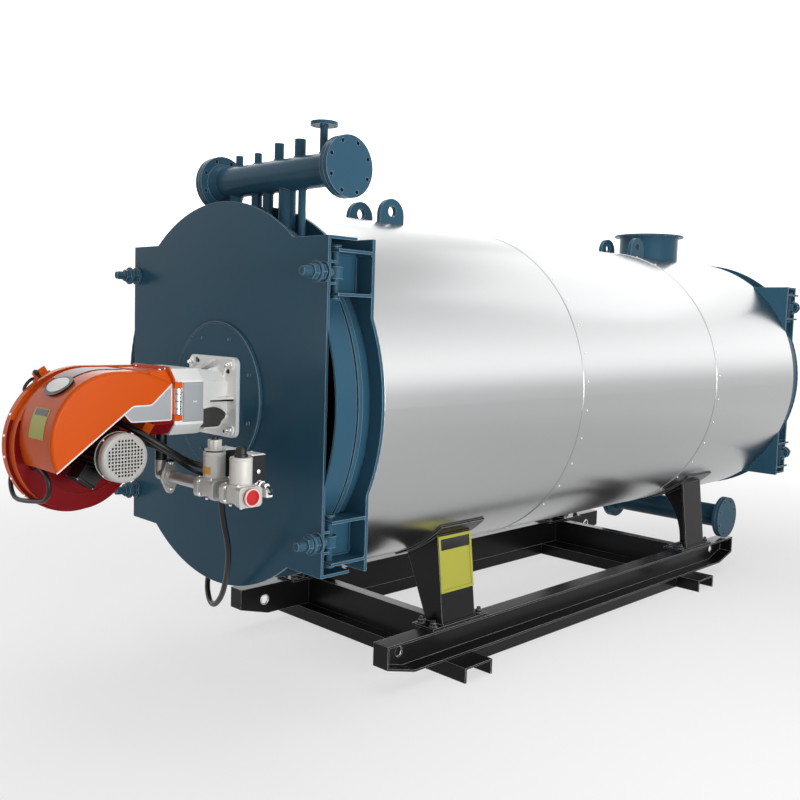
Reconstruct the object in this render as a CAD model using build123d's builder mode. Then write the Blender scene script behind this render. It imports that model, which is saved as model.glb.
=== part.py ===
"""Horizontal fire-tube boiler with a monoblock gas burner, standing on a steel skid.

Frame, millimetres: +Z up, the boiler's axis along Y, the burner end towards -Y, and +X to the
right of someone who faces the burner. Z = 0 is the underside of the skid's feet.
Places along the boiler are stations behind the front door's outer face, or setbacks in front of it.
"""

import os
from math import cos, pi, radians, sin, sqrt, tan

from build123d import *

os.makedirs("parts", exist_ok=True)

# Skid
foot_width = 200
foot_height = 75
foot_web = 9
foot_flange = 11
foot_length = 1480
front_foot_station = 1010
rear_foot_inset = 1150
rail_depth = 160
rail_width = 95
rail_plate = 10
rail_outer_x = 612
rail_inset = 515
rail_chamfer_length = 180
rail_chamfer_rise = 50
rail_hole_diameter = 50
rail_hole_inset = 158
runner_width = 65
runner_plate = 8
beam_width = 65
beam_plate = 9
front_beam_station = 1015
rear_beam_inset = 1048

# Vessel
vessel_clearance = 265
body_length = 4480
shell_diameter = 1550
shell_wall = 14
shell_setback = 128
shell_flange_width = 22
insulation_thickness = 75
insulation_clearance = 0.5
cladding_sheet = 3
cladding_lip = 3
cladding_setback = 219
seam_front_station = 1640
seam_rear_gap = 186
seam_bead_width = 14
seam_bead_height = 2.5

# Smoke box doors
door_plate = 12
door_rim = 3
door_side_inset = 112
drum_rim = 20
drum_wall = 10
drum_depth = 106
stiffener_depth = 138
stiffener_plate = 12
stiffener_length = 150
slot_bar_plate = 10
slot_bar_depth = 40
slot_bar_gap = 16

# Collar plates that carry the hinges
collar_plate = 14
collar_side_margin = 54
collar_top_margin = 140

# Hinge corners
hinge_inset = 22
hinge_reach = 148
hinge_web_inset = 53
hinge_web_plate = 10
bracket_clearance = 3
bracket_margin = 30
lug_plate = 12
lug_spacing = 170
lug_overhang = 54
wing_margin = 143
pin_diameter = 30
pin_fit = 0.3
pin_overhang = 9
eye_diameter = 62
eye_height = 46
bolt_diameter = 36
bolt_end = 112
slot_clearance = 3
washer_diameter = 85
washer_thickness = 9
nut_across_flats = 55
nut_height = 29

# Saddles
front_saddle_station = 1025
rear_saddle_inset = 1030
leg_width = 240
leg_plate = 12
leg_head_inset = 63
leg_foot_splay = 53
web_head_inset = 200
web_foot_inset = 110
pad_width = 320
pad_plate = 10
pad_angle_start = 20
pad_angle_end = 44
pad_fit = 0.3
base_plate_length = 400
base_plate_width = 142
base_plate_thickness = 12
base_plate_margin = 16
rear_web_arc = 420

# Upper header, a branch pipe across the front of the shell
header_station = 166
header_rise = 191
header_left_x = -262
header_right_x = 664
header_pipe_diameter = 139.7
header_pipe_wall = 6
flange_diameter = 250
flange_thickness = 22
flange_hole_circle_diameter = 210
flange_hole_diameter = 18
flange_hole_count = 8
neck_length = 34
neck_diameter = 178
header_leg_xs = (-118, 42, 126, 262, 364)
header_leg_diameters = (60.3, 48.3, 48.3, 76.1, 33.7)
pipe_fit = 0.3
stub_xs = (-94, 48, 200, 345)
stub_diameters = (33.7, 33.7, 42.4, 48.3)
stub_heights = (116, 114, 140, 142)
riser_x = 498
riser_height = 194
riser_pipe_diameter = 33.7
riser_pipe_wall = 3.2
riser_flange_diameter = 115
riser_flange_thickness = 16
riser_hole_circle_diameter = 85
riser_hole_diameter = 14
riser_hole_count = 4

# Lower header, a branch pipe across the underside near the rear
lower_header_inset = 594
lower_header_fall = 116
lower_header_left_x = -335
lower_header_right_x = 600
lower_pipe_diameter = 159
lower_pipe_wall = 6
lower_flange_diameter = 285
lower_flange_thickness = 22
lower_hole_circle_diameter = 240
lower_hole_diameter = 22
lower_nozzle_xs = (20, 245)
lower_nozzle_diameter = 88.9

# Lifting lugs
lug_x = 115
lifting_lug_plate = 25
lifting_lug_width = 165
lifting_lug_rise = 112
lifting_hole_rise = 49
lifting_hole_diameter = 54
front_lug_station = 936
rear_lug_gap = 362

# Flue outlet
flue_inset = 832
flue_diameter = 406
flue_wall = 6
flue_opening_margin = 3
flue_flange_diameter = 480
flue_flange_thickness = 12
flue_rise = 160
flue_hole_circle_diameter = 445
flue_hole_diameter = 14
flue_hole_count = 12

# Burner head: the flange casting that is bolted to the door
mount_disc_diameter = 660
mount_disc_plate = 12
burner_flange_width = 370
burner_flange_height = 350
burner_flange_thickness = 18
burner_flange_radius = 34
throat_width = 360
throat_top = 130
throat_bottom = 145
throat_chamfer = 46
throat_setback = 195
throat_joint = 328
neck_taper = 66
casting_rib_plate = 10
casting_rib_reach = 110
side_rib_inner_x = 93
side_rib_foot_x = 167
side_rib_head_x = 162
upright_rib_x = 60
upright_rib_inner_z = 65
upright_rib_head_z = 104
corner_boss_diameter = 44
corner_boss_height = 8

# Burner side cover and hinge
side_cover_plate = 8
side_cover_inset = 4
side_cover_length = 96
side_cover_top = 76
side_cover_bottom = 87
hinge_barrel_diameter = 22
hinge_barrel_height = 108
hinge_leaf_plate = 6
hinge_leaf_length = 22
hinge_lug_height = 24
hinge_lug_gap = 2

# Fan housing: a scroll with a square throat
fan_axis_setback = 578
fan_axis_drop = 207
scroll_radius = 303
scroll_start_angle = -195
scroll_left_x = -187
scroll_split_x = -150
scroll_right_x = -102
scroll_step = 14
dish_radius = 192
dish_depth = 10
casing_inset = 6
casing_length = 112
casing_end_chamfer = 24

# Burner hood and lower panel
hood_right_x = 180
hood_wall = 4
hood_fit = 0.3
hood_top = 125
hood_front_setback = 341
hood_front_top = 78
hood_shoulder_setback = 474
hood_shoulder_radius = 120
hood_nose_radius = 270
hood_nose_angle = 23.6
hood_edge_radius = 14
hood_waist_drop = 13
hood_waist_front = 431
hood_waist_back = 512
hood_waist_radius = 40
hood_front_low = 70
casing_gap = 0.5
panel_gap = 0.5
panel_drop = 77
panel_corner_setback = 522
panel_tip_setback = 552
panel_tip_drop = 42

# Fan motor
motor_core_diameter = 152
motor_fin_height = 11
motor_fin_plate = 4
motor_fin_count = 24
motor_fin_start_x = -62
motor_fin_end_x = 156
motor_flange_diameter = 190
motor_flange_thickness = 14
motor_right_x = 186
motor_cover_diameter = 196
motor_cover_length = 64
motor_cover_wall = 2
motor_cover_lap = 10
motor_cover_fit = 0.3
motor_cover_radius = 12
grille_pitch = 13.5
grille_hole = 8
grille_columns = 11
grille_radius = 76
terminal_box_length = 96
terminal_box_width = 84
terminal_box_reach = 132
terminal_box_x = 30
terminal_box_angle = -54

# Gas train
gas_setback = 300
gas_drop = 323
gas_pipe_diameter = 48.3
gas_flange_x = 94
gas_flange_thickness = 14
gas_flange_radius = 42
gas_ear_radius = 18
gas_ear_spacing = 110
gas_union_diameter = 66
gas_union_length = 16
gas_elbow_x = 30
valve_xs = (430, 608)
valve_length = 134
valve_height = 70
valve_depth = 84
valve_flange_height = 78
valve_flange_depth = 104
valve_flange_plate = 26
valve_flange_radius = 18
valve_pad_height = 3
solenoid_diameter = 104
solenoid_height = 103
solenoid_cap_diameters = (69, 45)
solenoid_cap_heights = (50, 41)
switch_box_width = 90
switch_box_depth = 66
switch_box_height = 150
switch_box_top = 180
switch_box_offset = 50
box_fit = 0.3
plug_diameter = 66
plug_depth = 12
plug_recess = 5
plug_rim = 7

# Conduits
gland_length = 20
gland_margin = 6
upper_conduit_diameter = 28
lower_conduit_diameter = 18
hanging_conduit_diameter = 25
loop_conduit_diameter = 19
upper_conduit_start = (548, -72)
upper_conduit_drop = 272
lower_conduit_start = (500, -112)
lower_conduit_drop = 312
loop_conduit_start = (790, -265)
loop_conduit_end = (812, -281)
hanging_conduit_x = 356
drum_gland_x = -145
drum_gland_station = 60
drum_gland_length = 24
bend_share = 0.45

# Heights and radii that follow from the sizes above
rail_bottom_z = foot_height
rail_top_z = foot_height + rail_depth
shell_radius = shell_diameter / 2
cladding_radius = shell_radius + insulation_thickness
axis_z = rail_top_z + cladding_radius + vessel_clearance
drum_radius = shell_radius + drum_rim
drum_gland_drop = sqrt(drum_radius**2 - drum_gland_x**2) + drum_gland_length
door_radius = cladding_radius + door_rim
door_half_width = cladding_radius - door_side_inset
hinge_x = door_half_width - hinge_inset
hinge_web_x = hinge_x - hinge_web_inset
slot_bar_length = door_half_width - hinge_web_x - hinge_web_plate - bracket_clearance
bracket_height = lug_spacing + lug_plate
hinge_z = sqrt((drum_radius + bracket_clearance)**2 - hinge_web_x**2) + bracket_height / 2
door_wing_z = hinge_z + wing_margin
header_height = shell_radius + header_rise
lifting_lug_top = cladding_radius + lifting_lug_rise
lifting_hole_height = cladding_radius + lifting_hole_rise
flue_top = cladding_radius + flue_rise
lower_header_drop = cladding_radius + lower_header_fall
fan_z = axis_z - fan_axis_drop
scroll_growth = (throat_top + fan_axis_drop - scroll_radius) / 90
gas_z = axis_z - gas_drop

# Places along the boiler that follow from the sizes above
rail_length = body_length - 2 * rail_inset
rear_foot_station = body_length - rear_foot_inset
rear_beam_station = body_length - rear_beam_inset
rear_saddle_station = body_length - rear_saddle_inset
flue_station = body_length - flue_inset
rear_lug_station = flue_station - rear_lug_gap
seam_rear_station = rear_lug_station - seam_rear_gap
lower_header_station = body_length - lower_header_inset
collar_setback = cladding_setback - collar_plate
hinge_setback = collar_setback - hinge_reach
burner_reach = fan_axis_setback + scroll_radius
front_y = (burner_reach - body_length - bolt_end) / 2
rear_y = front_y + body_length


def station(distance):
    """Y of a point that lies this far behind the front door's outer face."""
    return front_y + distance


def end_y(end, distance):
    """Y of a point this far inside the front (-1) or rear (+1) door's outer face."""
    return front_y + distance if end < 0 else rear_y - distance


def across(y, end=1):
    """Sketch plane across the boiler at y: local x is X, local y is Z above the axis."""
    return Plane(origin=(0, y, axis_z), x_dir=(end, 0, 0), z_dir=(0, -end, 0))


def upright(x):
    """Sketch plane at x that faces +X: local x is Y, local y is Z."""
    return Plane(origin=(x, 0, 0), x_dir=(0, 1, 0), z_dir=(1, 0, 0))


def at_burner(setback, height):
    """Point in an upright plane, from its setback before the door and its height over the axis."""
    return (station(-setback), axis_z + height)


ends = {"front": -1, "rear": 1}
sides = {"left": -1, "right": 1}
corners = [(sx, sz) for sx in (-1, 1) for sz in (-1, 1)]

# Skid rails: channels that open outwards, with sloped lower corners and a hole near each end
for side, sx in sides.items():
    rail_web_x = rail_outer_x - rail_width
    low = rail_bottom_z
    high = rail_top_z
    begin = station(rail_inset)
    finish = begin + rail_length
    with BuildPart() as rail:
        with BuildSketch(upright(sx * rail_web_x)) as outline:
            with BuildLine():
                Polyline(
                    (begin, low + rail_chamfer_rise),
                    (begin, high),
                    (finish, high),
                    (finish, low + rail_chamfer_rise),
                    (finish - rail_chamfer_length, low),
                    (begin + rail_chamfer_length, low),
                    close=True,
                )
            make_face()
        extrude(amount=sx * rail_width)
        with BuildSketch(upright(sx * (rail_web_x + rail_plate))):
            offset(outline.sketch_local, amount=-rail_plate)
        extrude(amount=sx * rail_width, mode=Mode.SUBTRACT)
        with BuildSketch(upright(sx * rail_web_x)):
            with Locations(
                (begin + rail_hole_inset, (low + high) / 2),
                (finish - rail_hole_inset, (low + high) / 2),
            ):
                Circle(rail_hole_diameter / 2)
        extrude(amount=sx * rail_plate, mode=Mode.SUBTRACT)
    rail.part.label = f"{side}_rail"
    export_step(rail.part, f"parts/{side}_rail.step")

# Feet: channels laid flat side up, across the skid under the rails
foot_stations = {"front": front_foot_station, "rear": rear_foot_station}
for end, where in foot_stations.items():
    with BuildPart() as foot:
        with BuildSketch(upright(-foot_length / 2)):
            with Locations((station(where), foot_height / 2)):
                Rectangle(foot_width, foot_height)
            with Locations((station(where), (foot_height - foot_web) / 2)):
                Rectangle(foot_width - 2 * foot_flange, foot_height - foot_web, mode=Mode.SUBTRACT)
        extrude(amount=foot_length)
    foot.part.label = f"{end}_foot"
    export_step(foot.part, f"parts/{end}_foot.step")

# Runners: box bars under the rails, from one foot to the other
runner_start = station(front_foot_station) + foot_width / 2
runner_end = station(rear_foot_station) - foot_width / 2
for side, sx in sides.items():
    with BuildPart() as runner:
        runner_x = sx * (rail_outer_x - rail_width + runner_width / 2)
        runner_hollow = (runner_width - 2 * runner_plate, foot_height - 2 * runner_plate)
        runner_origin = (runner_x, runner_start, foot_height / 2)
        with BuildSketch(Plane(origin=runner_origin, x_dir=(1, 0, 0), z_dir=(0, 1, 0))):
            Rectangle(runner_width, foot_height)
            Rectangle(*runner_hollow, mode=Mode.SUBTRACT)
        extrude(amount=runner_end - runner_start)
    runner.part.label = f"{side}_runner"
    export_step(runner.part, f"parts/{side}_runner.step")

# Crossbeams: channels between the rails' webs that open to the rear
beam_stations = {"front": front_beam_station, "rear": rear_beam_station}
beam_length = 2 * (rail_outer_x - rail_width)
for end, where in beam_stations.items():
    with BuildPart() as beam:
        beam_z = (rail_bottom_z + rail_top_z) / 2
        with BuildSketch(upright(-beam_length / 2)):
            with Locations((station(where), beam_z)):
                Rectangle(beam_width, rail_depth)
            with Locations((station(where) + beam_plate / 2, beam_z)):
                Rectangle(beam_width - beam_plate, rail_depth - 2 * beam_plate, mode=Mode.SUBTRACT)
        extrude(amount=beam_length)
    beam.part.label = f"{end}_crossbeam"
    export_step(beam.part, f"parts/{end}_crossbeam.step")

# Saddle legs: base plate, splayed outer plate, webs and a curved pad under the cladding
pad_inner = cladding_radius + pad_fit
pad_outer = pad_inner + pad_plate
leg_top_x = pad_outer * sin(radians(pad_angle_end)) - leg_head_inset
leg_foot_x = leg_top_x + leg_foot_splay
web_top_x = leg_top_x - web_head_inset
web_foot_x = leg_foot_x - web_foot_inset
base_plate_outer_x = leg_foot_x + base_plate_margin
base_plate_x = base_plate_outer_x - base_plate_width / 2
plate_top = rail_top_z + base_plate_thickness
saddles = {
    "front": (front_saddle_station, (-(leg_width - leg_plate) / 2, (leg_width - leg_plate) / 2), 0),
    "rear": (rear_saddle_station, (0,), rear_web_arc),
}
for end, (where, web_offsets, web_arc) in saddles.items():
    for side, sx in sides.items():
        mid_y = station(where)
        leg_head_z = axis_z - sqrt(pad_outer**2 - leg_top_x**2)
        web_head_z = axis_z - sqrt(pad_outer**2 - web_top_x**2)
        with BuildPart() as saddle:
            with BuildSketch(Plane.XY.offset(rail_top_z)):
                with Locations((sx * base_plate_x, mid_y)):
                    Rectangle(base_plate_width, base_plate_length)
            extrude(amount=base_plate_thickness)
            with BuildSketch(across(mid_y - leg_width / 2)):
                with BuildLine():
                    Polyline(
                        (sx * leg_foot_x, plate_top - axis_z),
                        (sx * leg_top_x, leg_head_z - axis_z + leg_plate),
                        (sx * (leg_top_x - leg_plate), leg_head_z - axis_z + leg_plate),
                        (sx * (leg_foot_x - leg_plate), plate_top - axis_z),
                        close=True,
                    )
                make_face()
            extrude(amount=-leg_width)
            for offset_y in web_offsets:
                with BuildSketch(across(mid_y + offset_y - leg_plate / 2)):
                    with BuildLine():
                        foot_in = (sx * web_foot_x, plate_top - axis_z)
                        head_in = (sx * web_top_x, web_head_z - axis_z + leg_plate)
                        Polyline(
                            foot_in,
                            (sx * (leg_foot_x - leg_plate / 2), plate_top - axis_z),
                            (sx * (leg_top_x - leg_plate / 2), leg_head_z - axis_z + leg_plate),
                            head_in,
                        )
                        if web_arc:
                            RadiusArc(head_in, foot_in, sx * web_arc)
                        else:
                            Line(head_in, foot_in)
                    make_face()
                extrude(amount=-leg_plate)
            with BuildSketch(across(mid_y - leg_width)):
                Circle(pad_outer)
            extrude(amount=-2 * leg_width, mode=Mode.SUBTRACT)
            with BuildSketch(across(mid_y - pad_width / 2)):
                with BuildLine():
                    middle = (pad_angle_start + pad_angle_end) / 2
                    arcs = []
                    for radius in (pad_inner, pad_outer):
                        points = [
                            (sx * radius * sin(radians(turn)), -radius * cos(radians(turn)))
                            for turn in (pad_angle_start, middle, pad_angle_end)
                        ]
                        ThreePointArc(*points)
                        arcs.append(points)
                    Line(arcs[0][0], arcs[1][0])
                    Line(arcs[0][2], arcs[1][2])
                make_face()
            extrude(amount=-pad_width)
        saddle.part.label = f"{end}_{side}_saddle"
        export_step(saddle.part, f"parts/{end}_{side}_saddle.step")

# Pressure shell: the plain drum behind the two smoke boxes
with BuildPart() as shell:
    with BuildSketch(across(station(shell_setback))):
        Circle(shell_radius)
        Circle(shell_radius - shell_wall, mode=Mode.SUBTRACT)
    extrude(amount=-(body_length - 2 * shell_setback))
    for end, sy in ends.items():
        with BuildSketch(across(end_y(sy, shell_setback), -sy)):
            Circle(drum_radius)
            Circle(shell_radius - shell_wall, mode=Mode.SUBTRACT)
        extrude(amount=-shell_flange_width)
    with BuildSketch(Plane.XY.offset(axis_z)):
        with Locations((0, station(flue_station))):
            Circle(flue_diameter / 2 - flue_wall + flue_opening_margin)
    extrude(amount=shell_diameter, mode=Mode.SUBTRACT)
shell.part.label = "pressure_shell"
export_step(shell.part, "parts/pressure_shell.step")

# Cladding: three rolled sheets with a turned-in lip at each end and a swaged bead at each seam
lug_stations = {"front": front_lug_station, "rear": rear_lug_station}
cladding_start = cladding_setback
cladding_end = body_length - cladding_setback
sections = {
    "front": (cladding_start, seam_front_station),
    "middle": (seam_front_station, seam_rear_station),
    "rear": (seam_rear_station, cladding_end),
}
lip_inner = shell_radius + insulation_clearance
lug_cut = (
    lifting_lug_plate + 2 * insulation_clearance,
    lifting_lug_width + 2 * insulation_clearance,
)
for name, (near, far) in sections.items():
    with BuildPart() as cladding:
        with BuildSketch(across(station(near))):
            Circle(cladding_radius)
            Circle(cladding_radius - cladding_sheet, mode=Mode.SUBTRACT)
        extrude(amount=-(far - near))
        lips = [near] if name == "front" else [far - cladding_lip] if name == "rear" else []
        for lip in lips:
            with BuildSketch(across(station(lip))):
                Circle(cladding_radius)
                Circle(lip_inner, mode=Mode.SUBTRACT)
            extrude(amount=-cladding_lip)
        if name != "rear":
            with BuildSketch(across(station(far - seam_bead_width))):
                Circle(cladding_radius + seam_bead_height)
                Circle(cladding_radius - cladding_sheet, mode=Mode.SUBTRACT)
            extrude(amount=-seam_bead_width)
        cuts = []
        for where in lug_stations.values():
            if near < where < far:
                cuts.append(where)
        for where in cuts:
            with BuildSketch(Plane.XY.offset(axis_z)):
                with Locations((-lug_x, station(where)), (lug_x, station(where))):
                    Rectangle(*lug_cut)
            extrude(amount=2 * cladding_radius, mode=Mode.SUBTRACT)
        if name == "rear":
            with BuildSketch(Plane.XY.offset(axis_z)):
                with Locations((0, station(flue_station))):
                    Circle(flue_diameter / 2 + insulation_clearance)
            extrude(amount=2 * cladding_radius, mode=Mode.SUBTRACT)
            with BuildSketch(Plane.XY.offset(axis_z)):
                for x in lower_nozzle_xs:
                    with Locations((x, station(lower_header_station))):
                        Circle(lower_nozzle_diameter / 2 + insulation_clearance)
            extrude(amount=-2 * cladding_radius, mode=Mode.SUBTRACT)
    cladding.part.label = f"cladding_{name}"
    export_step(cladding.part, f"parts/cladding_{name}.step")

# Collar plates: round plates with square wings behind each smoke box, which carry the hinges
for end, sy in ends.items():
    with BuildPart() as collar:
        face = end_y(sy, collar_setback)
        with BuildSketch(across(face, -sy)):
            Circle(cladding_radius)
            Rectangle(2 * (hinge_x + collar_side_margin), 2 * (hinge_z + collar_top_margin))
            Circle(shell_radius + insulation_clearance, mode=Mode.SUBTRACT)
        extrude(amount=-collar_plate)
    collar.part.label = f"{end}_collar_plate"
    export_step(collar.part, f"parts/{end}_collar_plate.step")

# Smoke box doors: flat plates with square wings, slotted at the sides for the swing bolts
slot_radius = bolt_diameter / 2 + slot_clearance
for end, sy in ends.items():
    with BuildPart() as door:
        outer = end_y(sy, 0)
        with BuildSketch(across(outer, -sy)):
            Circle(door_radius)
            Rectangle(2 * door_half_width, 2 * door_wing_z)
            Rectangle(2 * door_half_width, 4 * door_radius, mode=Mode.INTERSECT)
            for sx, sz in corners:
                with Locations((sx * hinge_x, sz * hinge_z)):
                    Circle(slot_radius, mode=Mode.SUBTRACT)
                with Locations((sx * (hinge_x + slot_radius), sz * hinge_z)):
                    Rectangle(2 * slot_radius, 2 * slot_radius, mode=Mode.SUBTRACT)
        extrude(amount=-door_plate)
        with BuildSketch(across(end_y(sy, door_plate), -sy)):
            for sx, sz in corners:
                middle_x = sx * (door_half_width - stiffener_length / 2)
                middle_z = sz * (door_wing_z - stiffener_plate / 2)
                with Locations((middle_x, middle_z)):
                    Rectangle(stiffener_length, stiffener_plate)
        extrude(amount=-stiffener_depth)
        with BuildSketch(across(end_y(sy, 0), -sy)):
            bar_x = door_half_width - slot_bar_length / 2
            bar_z = slot_radius + slot_bar_gap + slot_bar_plate / 2
            for sx, sz in corners:
                with Locations((sx * bar_x, sz * hinge_z - bar_z), (sx * bar_x, sz * hinge_z + bar_z)):
                    Rectangle(slot_bar_length, slot_bar_plate)
        extrude(amount=-slot_bar_depth)
    door.part.label = f"{end}_door"
    export_step(door.part, f"parts/{end}_door.step")
    with BuildPart() as drum:
        with BuildSketch(across(end_y(sy, door_plate), -sy)):
            Circle(drum_radius)
            Circle(drum_radius - drum_wall, mode=Mode.SUBTRACT)
        extrude(amount=-drum_depth)
    drum.part.label = f"{end}_door_drum"
    export_step(drum.part, f"parts/{end}_door_drum.step")

# Hinge brackets: a web and two lugs at each corner of each collar plate
for end, sy in ends.items():
    with BuildPart() as brackets:
        face = end_y(sy, collar_setback)
        for sx, sz in corners:
            middle = sz * hinge_z
            with BuildSketch(across(face, -sy)):
                with Locations((sx * (hinge_web_x + hinge_web_plate / 2), middle)):
                    Rectangle(hinge_web_plate, bracket_height)
            extrude(amount=hinge_reach + bracket_margin)
            for level in (-lug_spacing / 2, lug_spacing / 2):
                with BuildSketch(across(face, -sy)):
                    with Locations((sx * (hinge_web_x + hinge_x + lug_overhang) / 2, middle + level)):
                        Rectangle(hinge_x + lug_overhang - hinge_web_x, lug_plate)
                extrude(amount=hinge_reach + bracket_margin)
        with BuildSketch(Plane.XY):
            with Locations((-hinge_x, end_y(sy, hinge_setback)), (hinge_x, end_y(sy, hinge_setback))):
                Circle(pin_diameter / 2 + pin_fit)
        extrude(amount=2 * axis_z, mode=Mode.SUBTRACT)
    brackets.part.label = f"{end}_hinge_brackets"
    export_step(brackets.part, f"parts/{end}_hinge_brackets.step")

# Hinge pins, swing bolts, washers and clamp nuts at the eight corners
with BuildPart() as pins:
    for end, sy in ends.items():
        for sx, sz in corners:
            pin_low = axis_z + sz * hinge_z - bracket_height / 2 - pin_overhang
            with BuildSketch(Plane.XY.offset(pin_low)):
                with Locations((sx * hinge_x, end_y(sy, hinge_setback))):
                    Circle(pin_diameter / 2)
            extrude(amount=bracket_height + 2 * pin_overhang)
pins.part.label = "hinge_pins"
export_step(pins.part, "parts/hinge_pins.step")

with BuildPart() as bolts:
    for end, sy in ends.items():
        for sx, sz in corners:
            eye_y = end_y(sy, hinge_setback)
            with BuildSketch(Plane.XY.offset(axis_z + sz * hinge_z - eye_height / 2)):
                with Locations((sx * hinge_x, eye_y)):
                    Circle(eye_diameter / 2)
            extrude(amount=eye_height)
            with BuildSketch(across(eye_y, -sy)):
                with Locations((sx * hinge_x, sz * hinge_z)):
                    Circle(bolt_diameter / 2)
            extrude(amount=hinge_setback + bolt_end)
        with BuildSketch(Plane.XY):
            with Locations((-hinge_x, end_y(sy, hinge_setback)), (hinge_x, end_y(sy, hinge_setback))):
                Circle(pin_diameter / 2 + pin_fit)
        extrude(amount=2 * axis_z, mode=Mode.SUBTRACT)
bolts.part.label = "swing_bolts"
export_step(bolts.part, "parts/swing_bolts.step")

with BuildPart() as nuts:
    for end, sy in ends.items():
        for sx, sz in corners:
            place = (sx * hinge_x, sz * hinge_z)
            with BuildSketch(across(end_y(sy, 0), -sy)):
                with Locations(place):
                    Circle(washer_diameter / 2)
                    Circle(bolt_diameter / 2, mode=Mode.SUBTRACT)
            extrude(amount=washer_thickness)
            with BuildSketch(across(end_y(sy, -washer_thickness), -sy)):
                with Locations(place):
                    RegularPolygon(nut_across_flats / 2, 6, major_radius=False)
                    Circle(bolt_diameter / 2, mode=Mode.SUBTRACT)
            extrude(amount=nut_height)
nuts.part.label = "clamp_nuts"
export_step(nuts.part, "parts/clamp_nuts.step")

# Upper header: branch pipe with a weld-neck flange at each end
header_y = station(header_station)
header_z = axis_z + header_height
pipe_left = header_left_x + 2 * flange_thickness + neck_length
pipe_right = header_right_x - 2 * flange_thickness - neck_length
bore_radius = header_pipe_diameter / 2 - header_pipe_wall
half_step = 180 / flange_hole_count


def header_plane(x, facing=1):
    """Sketch plane across the upper header at x, facing +X or -X."""
    return Plane(origin=(x, header_y, header_z), x_dir=(0, facing, 0), z_dir=(facing, 0, 0))


with BuildPart() as header:
    with BuildSketch(header_plane(pipe_left)):
        Circle(header_pipe_diameter / 2)
    extrude(amount=pipe_right - pipe_left)
    for facing, root in ((-1, pipe_left), (1, pipe_right)):
        with BuildSketch(header_plane(root, facing)):
            Circle(header_pipe_diameter / 2)
        with BuildSketch(header_plane(root + facing * neck_length, facing)):
            Circle(neck_diameter / 2)
        loft()
        with BuildSketch(header_plane(root + facing * neck_length, facing)):
            Circle(flange_diameter / 2)
            with PolarLocations(flange_hole_circle_diameter / 2, flange_hole_count, half_step):
                Circle(flange_hole_diameter / 2, mode=Mode.SUBTRACT)
        extrude(amount=flange_thickness)
    with BuildSketch(header_plane(header_left_x)):
        Circle(bore_radius)
    extrude(amount=header_right_x - header_left_x, mode=Mode.SUBTRACT)
header.part.label = "upper_header"
export_step(header.part, "parts/upper_header.step")

with BuildPart() as blinds:
    for facing, face in ((-1, header_left_x), (1, header_right_x)):
        with BuildSketch(header_plane(face - facing * flange_thickness, facing)):
            Circle(flange_diameter / 2)
            with PolarLocations(flange_hole_circle_diameter / 2, flange_hole_count, half_step):
                Circle(flange_hole_diameter / 2, mode=Mode.SUBTRACT)
        extrude(amount=flange_thickness)
blinds.part.label = "upper_header_blinds"
export_step(blinds.part, "parts/upper_header_blinds.step")

# Legs from the shell up to the header, and branch stubs on top of it
with BuildPart() as legs:
    for x, diameter in zip(header_leg_xs, header_leg_diameters):
        with BuildSketch(Plane(origin=(x, header_y, axis_z))):
            Circle(diameter / 2)
        extrude(amount=header_height)
    with BuildSketch(across(station(0))):
        Circle(shell_radius + pipe_fit)
    extrude(amount=-2 * header_station, mode=Mode.SUBTRACT)
    with BuildSketch(across(station(0))):
        Circle(drum_radius + pipe_fit)
    extrude(amount=-(shell_setback + shell_flange_width + pipe_fit), mode=Mode.SUBTRACT)
    with BuildSketch(header_plane(header_left_x)):
        Circle(header_pipe_diameter / 2 + pipe_fit)
    extrude(amount=header_right_x - header_left_x, mode=Mode.SUBTRACT)
legs.part.label = "header_legs"
export_step(legs.part, "parts/header_legs.step")

with BuildPart() as stubs:
    for x, diameter, rise in zip(stub_xs, stub_diameters, stub_heights):
        with BuildSketch(Plane(origin=(x, header_y, header_z))):
            Circle(diameter / 2)
        extrude(amount=rise)
    with BuildSketch(header_plane(header_left_x)):
        Circle(header_pipe_diameter / 2 + pipe_fit)
    extrude(amount=header_right_x - header_left_x, mode=Mode.SUBTRACT)
stubs.part.label = "header_stubs"
export_step(stubs.part, "parts/header_stubs.step")

with BuildPart() as riser:
    with BuildSketch(Plane(origin=(riser_x, header_y, header_z))):
        Circle(riser_pipe_diameter / 2)
    extrude(amount=riser_height)
    with BuildSketch(Plane(origin=(riser_x, header_y, header_z + riser_height - riser_flange_thickness))):
        Circle(riser_flange_diameter / 2)
        with PolarLocations(riser_hole_circle_diameter / 2, riser_hole_count, start_angle=45):
            Circle(riser_hole_diameter / 2, mode=Mode.SUBTRACT)
    extrude(amount=riser_flange_thickness)
    with BuildSketch(Plane(origin=(riser_x, header_y, header_z))):
        Circle(riser_pipe_diameter / 2 - riser_pipe_wall)
    extrude(amount=riser_height, mode=Mode.SUBTRACT)
    with BuildSketch(header_plane(header_left_x)):
        Circle(header_pipe_diameter / 2 + pipe_fit)
    extrude(amount=header_right_x - header_left_x, mode=Mode.SUBTRACT)
riser.part.label = "flanged_riser"
export_step(riser.part, "parts/flanged_riser.step")

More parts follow.
